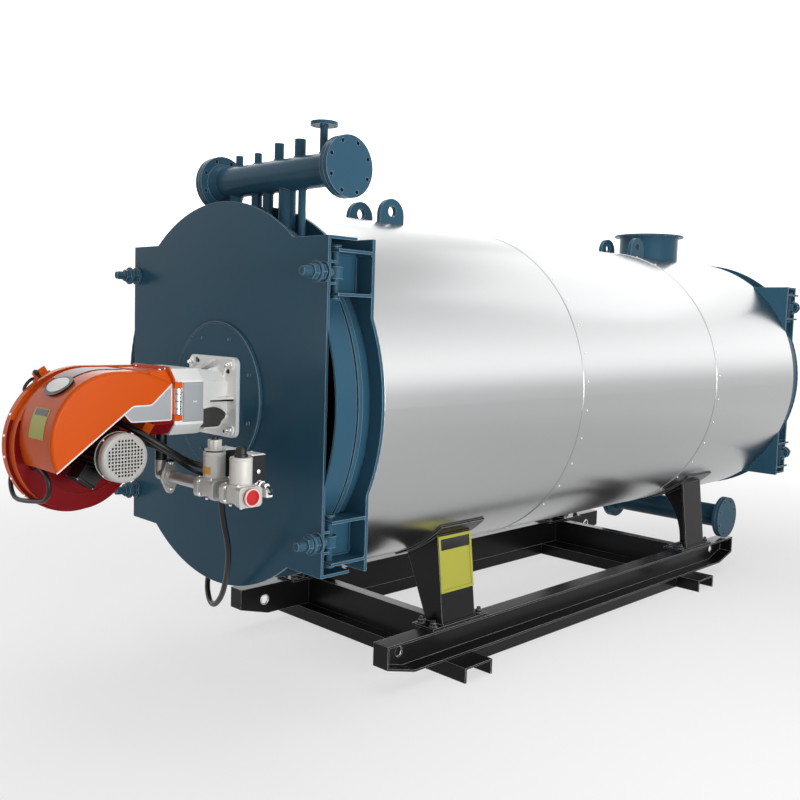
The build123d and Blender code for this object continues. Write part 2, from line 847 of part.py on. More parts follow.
# Lifting lugs: plates that stand on the shell and pass up through the cladding
for end, where in lug_stations.items():
    with BuildPart() as lugs:
        for sx in (-1, 1):
            with BuildSketch(upright(sx * lug_x - lifting_lug_plate / 2)):
                crown = lifting_lug_width / 2
                centre_z = axis_z + lifting_lug_top - crown
                with Locations((station(where), centre_z)):
                    Circle(crown)
                with Locations((station(where), (axis_z + centre_z) / 2)):
                    Rectangle(lifting_lug_width, centre_z - axis_z)
                with Locations((station(where), axis_z + lifting_hole_height)):
                    Circle(lifting_hole_diameter / 2, mode=Mode.SUBTRACT)
            extrude(amount=lifting_lug_plate)
        with BuildSketch(across(station(0))):
            Circle(shell_radius + insulation_clearance)
        extrude(amount=-body_length, mode=Mode.SUBTRACT)
    lugs.part.label = f"{end}_lifting_lugs"
    export_step(lugs.part, f"parts/{end}_lifting_lugs.step")

# Flue outlet: a short open stub with a flat flange on top of the rear end
with BuildPart() as flue:
    flue_y = station(flue_station)
    with BuildSketch(Plane(origin=(0, flue_y, axis_z))):
        Circle(flue_diameter / 2)
    extrude(amount=flue_top)
    with BuildSketch(Plane(origin=(0, flue_y, axis_z + flue_top - flue_flange_thickness))):
        Circle(flue_flange_diameter / 2)
        with PolarLocations(flue_hole_circle_diameter / 2, flue_hole_count):
            Circle(flue_hole_diameter / 2, mode=Mode.SUBTRACT)
    extrude(amount=flue_flange_thickness)
    with BuildSketch(Plane(origin=(0, flue_y, axis_z))):
        Circle(flue_diameter / 2 - flue_wall)
    extrude(amount=flue_top, mode=Mode.SUBTRACT)
    with BuildSketch(across(station(0))):
        Circle(shell_radius + insulation_clearance)
    extrude(amount=-body_length, mode=Mode.SUBTRACT)
flue.part.label = "flue_outlet"
export_step(flue.part, "parts/flue_outlet.step")

# Lower header: branch pipe with flange pairs and two nozzles up into the shell
lower_y = station(lower_header_station)
lower_z = axis_z - lower_header_drop


def lower_plane(x, facing=1):
    """Sketch plane across the lower header at x, facing +X or -X."""
    return Plane(origin=(x, lower_y, lower_z), x_dir=(0, facing, 0), z_dir=(facing, 0, 0))


with BuildPart() as lower:
    left_root = lower_header_left_x + lower_flange_thickness
    right_root = lower_header_right_x - lower_flange_thickness
    with BuildSketch(lower_plane(left_root)):
        Circle(lower_pipe_diameter / 2)
    extrude(amount=right_root - left_root)
    for facing, root in ((-1, left_root), (1, right_root)):
        with BuildSketch(lower_plane(root - facing * lower_flange_thickness, facing)):
            Circle(lower_flange_diameter / 2)
            with PolarLocations(lower_hole_circle_diameter / 2, flange_hole_count, half_step):
                Circle(lower_hole_diameter / 2, mode=Mode.SUBTRACT)
        extrude(amount=lower_flange_thickness)
    with BuildSketch(Plane.XY.offset(lower_z)):
        for x in lower_nozzle_xs:
            with Locations((x, lower_y)):
                Circle(lower_nozzle_diameter / 2)
    extrude(amount=lower_header_drop)
    with BuildSketch(across(lower_y - lower_flange_diameter)):
        Circle(shell_radius + insulation_clearance)
    extrude(amount=-2 * lower_flange_diameter, mode=Mode.SUBTRACT)
    with BuildSketch(lower_plane(lower_header_left_x)):
        Circle(lower_pipe_diameter / 2 - lower_pipe_wall)
    extrude(amount=lower_header_right_x - lower_header_left_x, mode=Mode.SUBTRACT)
lower.part.label = "lower_header"
export_step(lower.part, "parts/lower_header.step")

with BuildPart() as lower_blinds:
    for facing, root in ((-1, left_root), (1, right_root)):
        with BuildSketch(lower_plane(root, facing)):
            Circle(lower_flange_diameter / 2)
            with PolarLocations(lower_hole_circle_diameter / 2, flange_hole_count, half_step):
                Circle(lower_hole_diameter / 2, mode=Mode.SUBTRACT)
        extrude(amount=lower_flange_thickness)
lower_blinds.part.label = "lower_header_blinds"
export_step(lower_blinds.part, "parts/lower_header_blinds.step")

# Burner mounting disc on the door
with BuildPart() as disc:
    with BuildSketch(across(front_y)):
        Circle(mount_disc_diameter / 2)
    extrude(amount=mount_disc_plate)
disc.part.label = "burner_mounting_disc"
export_step(disc.part, "parts/burner_mounting_disc.step")


def throat_outline(inset=0):
    """Corners of the burner throat's section, an upright rectangle with four cut corners."""
    half = throat_width / 2 - inset
    top = throat_top - inset
    bottom = -throat_bottom + inset
    cut = throat_chamfer
    return (
        (half - cut, top),
        (half, top - cut),
        (half, bottom + cut),
        (half - cut, bottom),
        (cut - half, bottom),
        (-half, bottom + cut),
        (-half, top - cut),
        (cut - half, top),
    )


# Burner flange: a cast square plate with a ribbed neck that widens into the throat
neck_start = mount_disc_plate + burner_flange_thickness
plate_half = burner_flange_width / 2 - burner_flange_radius
plate_rise = burner_flange_height / 2 - burner_flange_radius
rib_end = neck_start + casting_rib_reach
with BuildPart() as casting:
    with BuildSketch(across(station(-mount_disc_plate))):
        RectangleRounded(burner_flange_width, burner_flange_height, burner_flange_radius)
    extrude(amount=burner_flange_thickness)
    with BuildSketch(across(station(-neck_start))):
        with BuildLine():
            narrow = [
                (x * (1 - 2 * neck_taper / throat_width), z * (1 - neck_taper / throat_width))
                for x, z in throat_outline()
            ]
            Polyline(*narrow, close=True)
        make_face()
    with BuildSketch(across(station(-throat_setback))):
        with BuildLine():
            Polyline(*throat_outline(), close=True)
        make_face()
    loft()
    with BuildSketch(across(station(-throat_setback))):
        with BuildLine():
            Polyline(*throat_outline(), close=True)
        make_face()
    extrude(amount=throat_joint - throat_setback)
    with BuildSketch(across(station(-neck_start))):
        for sx, sz in corners:
            with Locations((sx * plate_half, sz * plate_rise)):
                Circle(corner_boss_diameter / 2)
    extrude(amount=corner_boss_height)
    with BuildSketch(Plane.XY.offset(axis_z - casting_rib_plate / 2)):
        for sx in (-1, 1):
            with BuildLine():
                Polyline(
                    (sx * side_rib_inner_x, station(-neck_start)),
                    (sx * side_rib_foot_x, station(-neck_start)),
                    (sx * side_rib_head_x, station(-rib_end)),
                    (sx * side_rib_inner_x, station(-rib_end)),
                    close=True,
                )
            make_face()
    extrude(amount=casting_rib_plate)
    for sx in (-1, 1):
        with BuildSketch(upright(sx * upright_rib_x - casting_rib_plate / 2)):
            for sz in (-1, 1):
                with BuildLine():
                    Polyline(
                        at_burner(neck_start, sz * upright_rib_inner_z),
                        at_burner(neck_start, sz * plate_rise),
                        at_burner(rib_end, sz * upright_rib_head_z),
                        at_burner(rib_end, sz * upright_rib_inner_z),
                        close=True,
                    )
                make_face()
        extrude(amount=casting_rib_plate)
casting.part.label = "burner_flange"
export_step(casting.part, "parts/burner_flange.step")

# Burner side cover: the grey plate on the near side of the throat
with BuildPart() as box:
    with BuildSketch(upright(throat_width / 2)):
        cover_low = at_burner(throat_setback + side_cover_length, -side_cover_bottom)
        cover_high = at_burner(throat_setback, side_cover_top)
        with BuildLine():
            Polyline(
                cover_low,
                (cover_high[0], cover_low[1]),
                cover_high,
                (cover_low[0], cover_high[1]),
                close=True,
            )
        make_face()
    extrude(amount=side_cover_plate)
    chamfer(box.faces().sort_by(Axis.X)[-1].edges(), length=side_cover_inset)
box.part.label = "burner_box"
export_step(box.part, "parts/burner_box.step")

# Burner hinge: the upright barrel and leaf on which the fan end swings away from the throat
barrel_x = throat_width / 2 + hinge_barrel_diameter / 2
barrel_y = station(-throat_joint + hinge_barrel_diameter / 2)
with BuildPart() as burner_hinge:
    with BuildSketch(Plane.XY.offset(axis_z - hinge_barrel_height / 2)):
        with Locations((barrel_x, barrel_y)):
            Circle(hinge_barrel_diameter / 2)
    extrude(amount=hinge_barrel_height)
    with BuildSketch(Plane.XY.offset(axis_z - hinge_barrel_height / 2)):
        with Locations((throat_width / 2 + hinge_leaf_plate / 2, barrel_y + hinge_leaf_length / 2)):
            Rectangle(hinge_leaf_plate, hinge_leaf_length)
    extrude(amount=hinge_barrel_height)
burner_hinge.part.label = "burner_hinge"
export_step(burner_hinge.part, "parts/burner_hinge.step")

# Fan housing: a scroll in two halves about the fan's axis, with a throat that meets the casting
fan_y = station(-fan_axis_setback)


def scroll_point(turn, inset=0):
    """Point on the scroll's rim, at an angle about the fan's axis counted up from its far side."""
    radius = scroll_radius + scroll_growth * turn - inset
    return (fan_y - radius * cos(radians(turn)), fan_z + radius * sin(radians(turn)))


with BuildPart() as fan:
    with BuildSketch(across(station(-throat_joint))):
        with BuildLine():
            Polyline(*throat_outline(casing_inset), close=True)
        make_face()
    extrude(amount=casing_length)
    chamfer(fan.faces().sort_by(Axis.Y)[0].edges(), length=casing_end_chamfer)
    halves = ((scroll_left_x, scroll_split_x, 0), (scroll_split_x, scroll_right_x, scroll_step))
    for start_x, end_x, inset in halves:
        with BuildSketch(upright(start_x)):
            with BuildLine():
                rim = [scroll_point(turn, inset) for turn in range(scroll_start_angle, 91, 15)]
                Spline(*rim)
                Polyline(
                    rim[-1],
                    at_burner(throat_joint, throat_top - inset),
                    at_burner(throat_joint, inset - throat_bottom),
                    rim[0],
                )
            make_face()
        extrude(amount=end_x - start_x)
    with BuildSketch(upright(scroll_right_x)):
        with Locations((fan_y, fan_z)):
            Circle(dish_radius)
    extrude(amount=-dish_depth, mode=Mode.SUBTRACT)
    for level in (-1, 1):
        lug_z = axis_z + level * (hinge_barrel_height + hinge_lug_height + hinge_lug_gap) / 2
        with BuildSketch(Plane.XY.offset(lug_z - hinge_lug_height / 2)):
            with BuildLine():
                Polyline(
                    (throat_width / 2 + pin_fit, barrel_y + hinge_barrel_diameter / 2),
                    (throat_width / 2 + hinge_barrel_diameter, barrel_y + hinge_barrel_diameter / 2),
                    (throat_width / 2 + hinge_barrel_diameter, station(pin_fit - hood_front_setback)),
                    (throat_width / 2 - throat_chamfer, station(pin_fit - hood_front_setback)),
                    (throat_width / 2 - throat_chamfer, station(-throat_joint)),
                    (throat_width / 2 + pin_fit, station(-throat_joint)),
                    close=True,
                )
            make_face()
        extrude(amount=hinge_lug_height)
fan.part.label = "fan_housing"
export_step(fan.part, "parts/fan_housing.step")

# Burner hood: a thin moulded cover over the motor, open below, with a rounded near edge
hood_left_x = scroll_right_x + hood_fit
hood_axis_z = axis_z + hood_top - hood_nose_radius
nose_tip = (
    fan_y - hood_nose_radius * cos(radians(hood_nose_angle)),
    hood_axis_z - hood_nose_radius * sin(radians(hood_nose_angle)),
)


def hood_rim(inset=0):
    """Top edge of the hood's side, from its front corner over the crown to the tip of the nose."""
    radius = hood_nose_radius - inset
    front = at_burner(hood_front_setback, hood_front_top - inset)
    shoulder = at_burner(hood_shoulder_setback, hood_top - inset)
    crown = at_burner(fan_axis_setback, hood_top - inset)
    half_way = radians((90 - hood_nose_angle) / 2)
    low = radians(hood_nose_angle)
    brow = (fan_y - radius * cos(half_way), hood_axis_z + radius * sin(half_way))
    tip = (fan_y - radius * cos(low), hood_axis_z - radius * sin(low))
    FilletPolyline(front, shoulder, crown, radius=hood_shoulder_radius)
    ThreePointArc(crown, brow, tip)
    return front, tip


def rim_edges(solid):
    """Edges of the hood's near side that run along its top and its nose."""
    side = solid.faces().sort_by(Axis.X)[-1]
    crest = axis_z + hood_front_top
    brow_y = fan_y - hood_nose_radius / 2
    top = side.edges().filter_by(lambda edge: (edge @ 0.5).Z > crest)
    nose = side.edges().filter_by(lambda edge: (edge @ 0.5).Y < brow_y and (edge @ 0.5).Z > nose_tip[1])
    return top + nose


with BuildPart() as hollow:
    with BuildSketch(upright(hood_left_x)):
        with BuildLine():
            front, tip = hood_rim(hood_wall)
            Polyline(
                tip,
                (tip[0] + hood_edge_radius, hood_axis_z - hood_nose_radius),
                (front[0], hood_axis_z - hood_nose_radius),
                front,
            )
        make_face()
    extrude(amount=hood_right_x - hood_wall - hood_left_x)
    fillet(rim_edges(hollow), radius=hood_edge_radius - hood_wall)

with BuildPart() as cover:
    with BuildSketch(upright(hood_left_x)) as hood_side:
        with BuildLine():
            front, tip = hood_rim()
            low_front = at_burner(hood_front_setback, hood_front_low)
            Line(front, low_front)
            FilletPolyline(
                low_front,
                at_burner(hood_waist_front, -hood_waist_drop),
                at_burner(hood_waist_back, -hood_waist_drop),
                tip,
                radius=hood_waist_radius,
            )
        make_face()
    extrude(amount=hood_right_x - hood_left_x)
    fillet(rim_edges(cover), radius=hood_edge_radius)
    add(hollow.part, mode=Mode.SUBTRACT)
    with BuildSketch(across(station(-throat_joint))):
        with BuildLine():
            Polyline(*throat_outline(casing_inset - casing_gap), close=True)
        make_face()
    extrude(amount=casing_length + casing_gap, mode=Mode.SUBTRACT)
cover.part.label = "burner_cover"
export_step(cover.part, "parts/burner_cover.step")

# Burner lower panel: the flat plate that closes the side below the hood's front
with BuildPart() as panel:
    with BuildSketch(upright(hood_right_x - hood_wall)):
        with BuildLine():
            Polyline(
                at_burner(hood_front_setback, hood_front_low),
                at_burner(hood_front_setback, -panel_drop),
                at_burner(panel_corner_setback, -panel_drop),
                at_burner(panel_tip_setback, -panel_tip_drop),
                at_burner(panel_tip_setback, hood_front_low),
                close=True,
            )
        make_face()
        offset(hood_side.sketch_local, amount=panel_gap, mode=Mode.SUBTRACT)
    extrude(amount=hood_wall)
panel.part.label = "burner_lower_panel"
export_step(panel.part, "parts/burner_lower_panel.step")

# Fan motor: finned body on a flange in the scroll's dish, with a terminal box below
motor_left_x = scroll_right_x - dish_depth
core_radius = motor_core_diameter / 2
fin_radius = core_radius + motor_fin_height


def motor_plane(x):
    """Sketch plane across the motor at x, with local x along Y and local y along Z."""
    return Plane(origin=(x, fan_y, fan_z), x_dir=(0, 1, 0), z_dir=(1, 0, 0))


with BuildPart() as motor:
    with BuildSketch(motor_plane(motor_left_x)):
        Circle(motor_flange_diameter / 2)
    extrude(amount=motor_flange_thickness)
    with BuildSketch(motor_plane(motor_left_x)):
        Circle(core_radius)
    extrude(amount=motor_right_x - motor_left_x)
    with BuildSketch(motor_plane(motor_fin_start_x)):
        with PolarLocations(fin_radius / 2, motor_fin_count):
            Rectangle(fin_radius, motor_fin_plate)
    extrude(amount=motor_fin_end_x - motor_fin_start_x)
    with BuildSketch(motor_plane(motor_right_x - motor_cover_lap)):
        Circle(motor_cover_diameter / 2 - motor_cover_wall - motor_cover_fit)
    extrude(amount=motor_cover_lap)
    box_turn = radians(terminal_box_angle)
    box_plane = Plane(
        origin=(terminal_box_x - terminal_box_length / 2, fan_y, fan_z),
        x_dir=(0, -cos(box_turn), sin(box_turn)),
        z_dir=(1, 0, 0),
    )
    with BuildSketch(box_plane):
        with Locations((terminal_box_reach / 2, 0)):
            Rectangle(terminal_box_reach, terminal_box_width)
    extrude(amount=terminal_box_length)
motor.part.label = "fan_motor"
export_step(motor.part, "parts/fan_motor.step")

# Motor fan cover: a thin cap with a grille of square holes in its end
with BuildPart() as grille:
    cap_plane = Plane(origin=(0, fan_y, fan_z), x_dir=(1, 0, 0), z_dir=(0, -1, 0))
    with BuildSketch(cap_plane):
        with BuildLine():
            cap_start = motor_right_x - motor_cover_lap
            cap_end = motor_right_x + motor_cover_length - motor_cover_lap
            outer = motor_cover_diameter / 2
            inner = outer - motor_cover_wall
            FilletPolyline((cap_start, outer), (cap_end, outer), (cap_end, 0), radius=motor_cover_radius)
            FilletPolyline(
                (cap_start, inner),
                (cap_end - motor_cover_wall, inner),
                (cap_end - motor_cover_wall, 0),
                radius=motor_cover_radius - motor_cover_wall,
            )
            Line((cap_start, outer), (cap_start, inner))
            Line((cap_end, 0), (cap_end - motor_cover_wall, 0))
        make_face()
    revolve(axis=Axis((0, fan_y, fan_z), (1, 0, 0)))
    steps = [grille_pitch * (i - (grille_columns - 1) / 2) for i in range(grille_columns)]
    holes = [(a, b) for a in steps for b in steps if sqrt(a**2 + b**2) < grille_radius]
    with BuildSketch(motor_plane(cap_end)):
        with Locations(*holes):
            Rectangle(grille_hole, grille_hole)
    extrude(amount=-motor_cover_radius, mode=Mode.SUBTRACT)
grille.part.label = "motor_fan_cover"
export_step(grille.part, "parts/motor_fan_cover.step")

# Gas train: elbow, oval flange and pipe, two valve bodies with solenoids, switch boxes and plug
gas_y = station(-gas_setback)


def gas_plane(x):
    """Sketch plane across the gas train at x, facing +X."""
    return Plane(origin=(x, gas_y, gas_z), x_dir=(0, 1, 0), z_dir=(1, 0, 0))


with BuildPart() as gas_pipe:
    with BuildSketch(gas_plane(gas_flange_x)):
        Circle(gas_flange_radius)
        with Locations((0, gas_ear_spacing / 2), (0, -gas_ear_spacing / 2)):
            Circle(gas_ear_radius)
        make_hull()
    extrude(amount=gas_flange_thickness)
    with BuildSketch(gas_plane(gas_flange_x + gas_flange_thickness)):
        Circle(gas_union_diameter / 2)
    extrude(amount=gas_union_length)
    with BuildSketch(gas_plane(gas_elbow_x)):
        Circle(gas_pipe_diameter / 2)
    extrude(amount=valve_xs[0] - valve_length / 2 - gas_elbow_x)
    with BuildSketch(Plane(origin=(gas_elbow_x, gas_y, gas_z))):
        Circle(gas_pipe_diameter / 2)
    extrude(amount=gas_drop - throat_bottom)
    with BuildSketch(Plane(origin=(gas_elbow_x, gas_y, gas_z), x_dir=(1, 0, 0), z_dir=(0, -1, 0))):
        with BuildLine():
            CenterArc((0, 0), gas_pipe_diameter / 2, 90, 180)
            Line((0, gas_pipe_diameter / 2), (0, -gas_pipe_diameter / 2))
        make_face()
    revolve(axis=Axis((gas_elbow_x, gas_y, gas_z), (0, 0, 1)))
gas_pipe.part.label = "gas_pipe"
export_step(gas_pipe.part, "parts/gas_pipe.step")

with BuildPart() as valves:
    for x in valve_xs:
        with BuildSketch(gas_plane(x - valve_length / 2)):
            RectangleRounded(valve_depth, valve_height, valve_flange_radius)
        extrude(amount=valve_length)
        for flange_x in (x - valve_length / 2, x + valve_length / 2 - valve_flange_plate):
            with BuildSketch(gas_plane(flange_x)):
                RectangleRounded(valve_flange_depth, valve_flange_height, valve_flange_radius)
            extrude(amount=valve_flange_plate)
        with BuildSketch(Plane(origin=(x, gas_y, gas_z))):
            Rectangle(valve_depth, valve_depth)
        extrude(amount=valve_flange_height / 2 + valve_pad_height)
    with BuildSketch(gas_plane(valve_xs[0])):
        Circle(gas_pipe_diameter / 2)
    extrude(amount=valve_xs[1] - valve_xs[0])
valves.part.label = "gas_valves"
export_step(valves.part, "parts/gas_valves.step")

solenoid_z = gas_z + valve_flange_height / 2 + valve_pad_height
with BuildPart() as solenoids:
    for x, cap_diameter, cap_height in zip(valve_xs, solenoid_cap_diameters, solenoid_cap_heights):
        with BuildSketch(Plane(origin=(x, gas_y, solenoid_z))):
            Circle(solenoid_diameter / 2)
        extrude(amount=solenoid_height)
        with BuildSketch(Plane(origin=(x, gas_y, solenoid_z + solenoid_height))):
            Circle(cap_diameter / 2)
        extrude(amount=cap_height)
solenoids.part.label = "gas_solenoids"
export_step(solenoids.part, "parts/gas_solenoids.step")

box_y = gas_y + max(solenoid_diameter, valve_flange_depth) / 2 + box_fit + switch_box_depth / 2
box_top_z = axis_z - switch_box_top
box_low_z = box_top_z - switch_box_height
with BuildPart() as switch_box:
    for x in valve_xs:
        with BuildSketch(Plane(origin=(x - switch_box_offset, box_y, box_low_z))):
            Rectangle(switch_box_width, switch_box_depth)
        extrude(amount=switch_box_height)
switch_box.part.label = "gas_switch_box"
export_step(switch_box.part, "parts/gas_switch_box.step")

with BuildPart() as plug:
    plug_x = valve_xs[1] + valve_length / 2
    with BuildSketch(gas_plane(plug_x)):
        Circle(plug_diameter / 2)
    extrude(amount=plug_depth)
    with BuildSketch(gas_plane(plug_x + plug_depth)):
        Circle(plug_diameter / 2 - plug_rim)
    extrude(amount=-plug_recess, mode=Mode.SUBTRACT)
plug.part.label = "gas_outlet_plug"
export_step(plug.part, "parts/gas_outlet_plug.step")

# Cable glands: where each conduit leaves the burner, a switch box or the front door's drum
box_left_x = valve_xs[0] - switch_box_offset - switch_box_width / 2
dish_x = scroll_right_x - dish_depth
box_setback = gas_setback - (box_y - gas_y)
box_bottom = box_low_z - axis_z
drum_gland_z = axis_z - drum_gland_drop


def gland_plane(x, setback, height, facing):
    """Plane at a gland's seat, with its normal along the way the gland points."""
    across_x = (0, 1, 0) if facing[0] else (1, 0, 0)
    return Plane(origin=(x, station(-setback), axis_z + height), x_dir=across_x, z_dir=facing)


glands = (
    (gland_plane(dish_x, *upper_conduit_start, (1, 0, 0)), upper_conduit_diameter, dish_depth),
    (gland_plane(dish_x, *lower_conduit_start, (1, 0, 0)), lower_conduit_diameter, dish_depth),
    (gland_plane(box_left_x, box_setback, -upper_conduit_drop, (-1, 0, 0)), upper_conduit_diameter, 0),
    (gland_plane(box_left_x, box_setback, -lower_conduit_drop, (-1, 0, 0)), lower_conduit_diameter, 0),
    (gland_plane(hanging_conduit_x, box_setback, box_bottom, (0, 0, -1)), hanging_conduit_diameter, 0),
    (gland_plane(scroll_right_x, *loop_conduit_start, (1, 0, 0)), loop_conduit_diameter, 0),
    (gland_plane(scroll_left_x, *loop_conduit_end, (-1, 0, 0)), loop_conduit_diameter, 0),
)
with BuildPart() as gland_set:
    for seat, diameter, recess in glands:
        with BuildSketch(seat):
            Circle(diameter / 2 + gland_margin)
        extrude(amount=recess + gland_length)
gland_set.part.label = "cable_glands"
export_step(gland_set.part, "parts/cable_glands.step")

with BuildPart() as drum_gland:
    with BuildSketch(Plane(origin=(drum_gland_x, station(drum_gland_station), drum_gland_z))):
        Circle(hanging_conduit_diameter / 2 + gland_margin)
    extrude(amount=drum_gland_drop)
    with BuildSketch(across(front_y)):
        Circle(drum_radius + pipe_fit)
    extrude(amount=-cladding_setback, mode=Mode.SUBTRACT)
drum_gland.part.label = "drum_gland"
export_step(drum_gland.part, "parts/drum_gland.step")

# Conduits and cables: straight runs joined by bends that are as wide as the runs allow.
# Each point is its X, its setback before the door and its height over the boiler's axis.
gland_face_x = scroll_right_x + gland_length
box_face_x = box_left_x - gland_length
box_face_height = box_bottom - gland_length
routes = {
    "upper_valve_conduit": (
        upper_conduit_diameter,
        (
            (gland_face_x, *upper_conduit_start),
            (-20, *upper_conduit_start),
            (85, 520, -86),
            (173, 470, -128),
            (208, 390, -184),
            (214, 310, -236),
            (219, 268, -257),
            (240, 232, -268),
            (275, box_setback, -upper_conduit_drop),
            (box_face_x, box_setback, -upper_conduit_drop),
        ),
    ),
    "lower_valve_conduit": (
        lower_conduit_diameter,
        (
            (gland_face_x, *lower_conduit_start),
            (-25, *lower_conduit_start),
            (35, 462, -158),
            (85, 408, -182),
            (125, 352, -203),
            (158, 300, -247),
            (170, 252, -288),
            (203, 222, -307),
            (250, box_setback, -lower_conduit_drop),
            (box_face_x, box_setback, -lower_conduit_drop),
        ),
    ),
    "hanging_conduit": (
        hanging_conduit_diameter,
        (
            (hanging_conduit_x, box_setback, box_face_height),
            (hanging_conduit_x, box_setback, -415),
            (345, 193, -500),
            (322, 155, -597),
            (277, 121, -683),
            (208, 84, 31 - drum_gland_drop),
            (130, 46, -62 - drum_gland_drop),
            (50, 18, -129 - drum_gland_drop),
            (-15, 0, -162 - drum_gland_drop),
            (-78, -20, -152 - drum_gland_drop),
            (-122, -38, -106 - drum_gland_drop),
            (drum_gland_x, -drum_gland_station, -54 - drum_gland_drop),
            (drum_gland_x, -drum_gland_station, -drum_gland_drop),
        ),
    ),
    "loop_conduit": (
        loop_conduit_diameter,
        (
            (gland_face_x, *loop_conduit_start),
            (-35, *loop_conduit_start),
            (4, 779, -303),
            (4, 774, -358),
            (-35, 778, -397),
            (-90, 785, -405),
            (-160, 801, -412),
            (-234, 812, -413),
            (-273, 813, -374),
            (-273, 812, -320),
            (-234, *loop_conduit_end),
            (scroll_left_x - gland_length, *loop_conduit_end),
        ),
    ),
}
for name, (diameter, points) in routes.items():
    path_points = [Vector(x, station(-setback), axis_z + height) for x, setback, height in points]
    runs = [after - before for before, after in zip(path_points, path_points[1:])]
    turns = [before.get_angle(after) for before, after in zip(runs, runs[1:])]
    shorter = [min(before.length, after.length) for before, after in zip(runs, runs[1:])]
    radii = [bend_share * run / tan(radians(turn / 2)) for run, turn in zip(shorter, turns)]
    with BuildPart() as conduit:
        with BuildLine() as path:
            FilletPolyline(*path_points, radius=radii)
        length = path.wires()[0].length
        with BuildSketch(Plane(origin=path_points[0], z_dir=runs[0])):
            Circle(diameter / 2)
        sweep()
    ratio = conduit.part.volume / (length * pi * diameter**2 / 4)
    print(name, "radii", [round(radius) for radius in radii])
    print(name, "length", round(length), "volume over section times length", round(ratio, 4))
    conduit.part.label = name
    export_step(conduit.part, f"parts/{name}.step")
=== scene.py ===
"""Dresses the boiler: paint, sheet steel, bolts, welds, cables and studio light over its solids.

Everything is in metres in the frame of the solids: +Z up, the boiler's axis along Y with the burner
towards -Y, and +X to the right of someone who faces the burner. Places on the burner and the doors
are given from two lines, the front door's outer face and the boiler's axis.
"""

import logging
from collections.abc import Callable, Iterable, Iterator, Sequence
from contextlib import contextmanager
from dataclasses import dataclass
from enum import Enum
from functools import cache
from math import atan2, cos, pi, radians, sin, sqrt

import bpy
from bpy.types import Material, MeshPolygon, Node, NodeSocket, NodeTree, Object
from mathutils import Euler, Matrix, Vector


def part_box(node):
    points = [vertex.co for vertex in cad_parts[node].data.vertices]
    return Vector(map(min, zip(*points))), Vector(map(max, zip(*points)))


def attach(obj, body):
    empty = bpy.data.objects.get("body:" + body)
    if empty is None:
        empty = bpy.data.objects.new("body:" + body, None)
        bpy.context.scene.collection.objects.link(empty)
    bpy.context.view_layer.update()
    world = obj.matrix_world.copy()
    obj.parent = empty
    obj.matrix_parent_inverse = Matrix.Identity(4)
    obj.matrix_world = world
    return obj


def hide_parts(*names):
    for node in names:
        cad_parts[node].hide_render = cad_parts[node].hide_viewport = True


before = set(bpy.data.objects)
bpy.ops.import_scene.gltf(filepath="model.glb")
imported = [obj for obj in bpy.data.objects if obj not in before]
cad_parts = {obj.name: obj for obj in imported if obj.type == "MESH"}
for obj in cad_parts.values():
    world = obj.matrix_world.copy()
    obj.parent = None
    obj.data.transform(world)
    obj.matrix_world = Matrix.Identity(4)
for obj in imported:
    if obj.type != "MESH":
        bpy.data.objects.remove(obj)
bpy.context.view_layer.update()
log = logging.getLogger("boiler")

Spot = tuple[float, float, float]
Colour = tuple[float, float, float]
Outline = tuple[tuple[float, float], ...]
Inputs = dict[str | int, object]

ENDS = ("front", "rear")
SIGNS = (-1, 1)
CORNERS = tuple((first, second) for first in SIGNS for second in SIGNS)
FLAT_SMOOTH = 35.0
WELD_SMOOTH = 60.0
FAR = 9.0


class Facing(Enum):
    """Way that a fastener, plate or pipe end points, as the turn from straight up."""

    UP = (0.0, 0.0, 0.0)
    DOWN = (pi, 0.0, 0.0)
    RIGHT = (0.0, pi / 2, 0.0)
    LEFT = (0.0, -pi / 2, 0.0)
    FRONT = (pi / 2, 0.0, 0.0)
    BACK = (-pi / 2, 0.0, 0.0)


def middle_of(node: str) -> Vector:
    """Gives the middle of a solid's box."""
    low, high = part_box(node)
    return (low + high) / 2


FACE_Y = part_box("front_door")[0].y
AXIS_Z = middle_of("cladding_middle").z


def at(x: float, setback: float, height: float) -> Vector:
    """Gives the point this far right, before the front door and over the boiler's axis."""
    return Vector((x, FACE_Y - setback, AXIS_Z + height))


def move(*spot: float) -> Matrix:
    """Gives the matrix that moves a piece from the origin to a point."""
    return Matrix.Translation(spot)


def turn(angle: float, axis: str) -> Matrix:
    """Gives the matrix that turns a piece about an axis of the frame."""
    return Matrix.Rotation(angle, 4, axis)


def place(spot: Sequence[float], facing: Facing = Facing.UP, spin: float = 0.0) -> Matrix:
    """Builds the matrix that sets a piece made upright at the origin in its place.

    Args:
        spot: Point where the piece's seat goes.
        facing: Way that the piece's own Z axis points.
        spin: Turn about that axis, in radians.

    Returns:
        The matrix from the origin to the place.
    """
    return move(*spot) @ Euler(facing.value).to_matrix().to_4x4() @ turn(spin, "Z")


def ring_places(
    centre: Sequence[float], facing: Facing, radius: float, count: int, start: float = 0.0
) -> list[Matrix]:
    """Builds the places of fasteners on a circle.

    Args:
        centre: Middle of the circle.
        facing: Way that the circle's axis and the fasteners point.
        radius: Circle's radius.
        count: Number of fasteners.
        start: Angle of the first one, in radians.

    Returns:
        One matrix for each fastener.
    """
    step = 2 * pi / count
    return [place(centre, facing, start + index * step) @ move(radius, 0, 0) for index in range(count)]


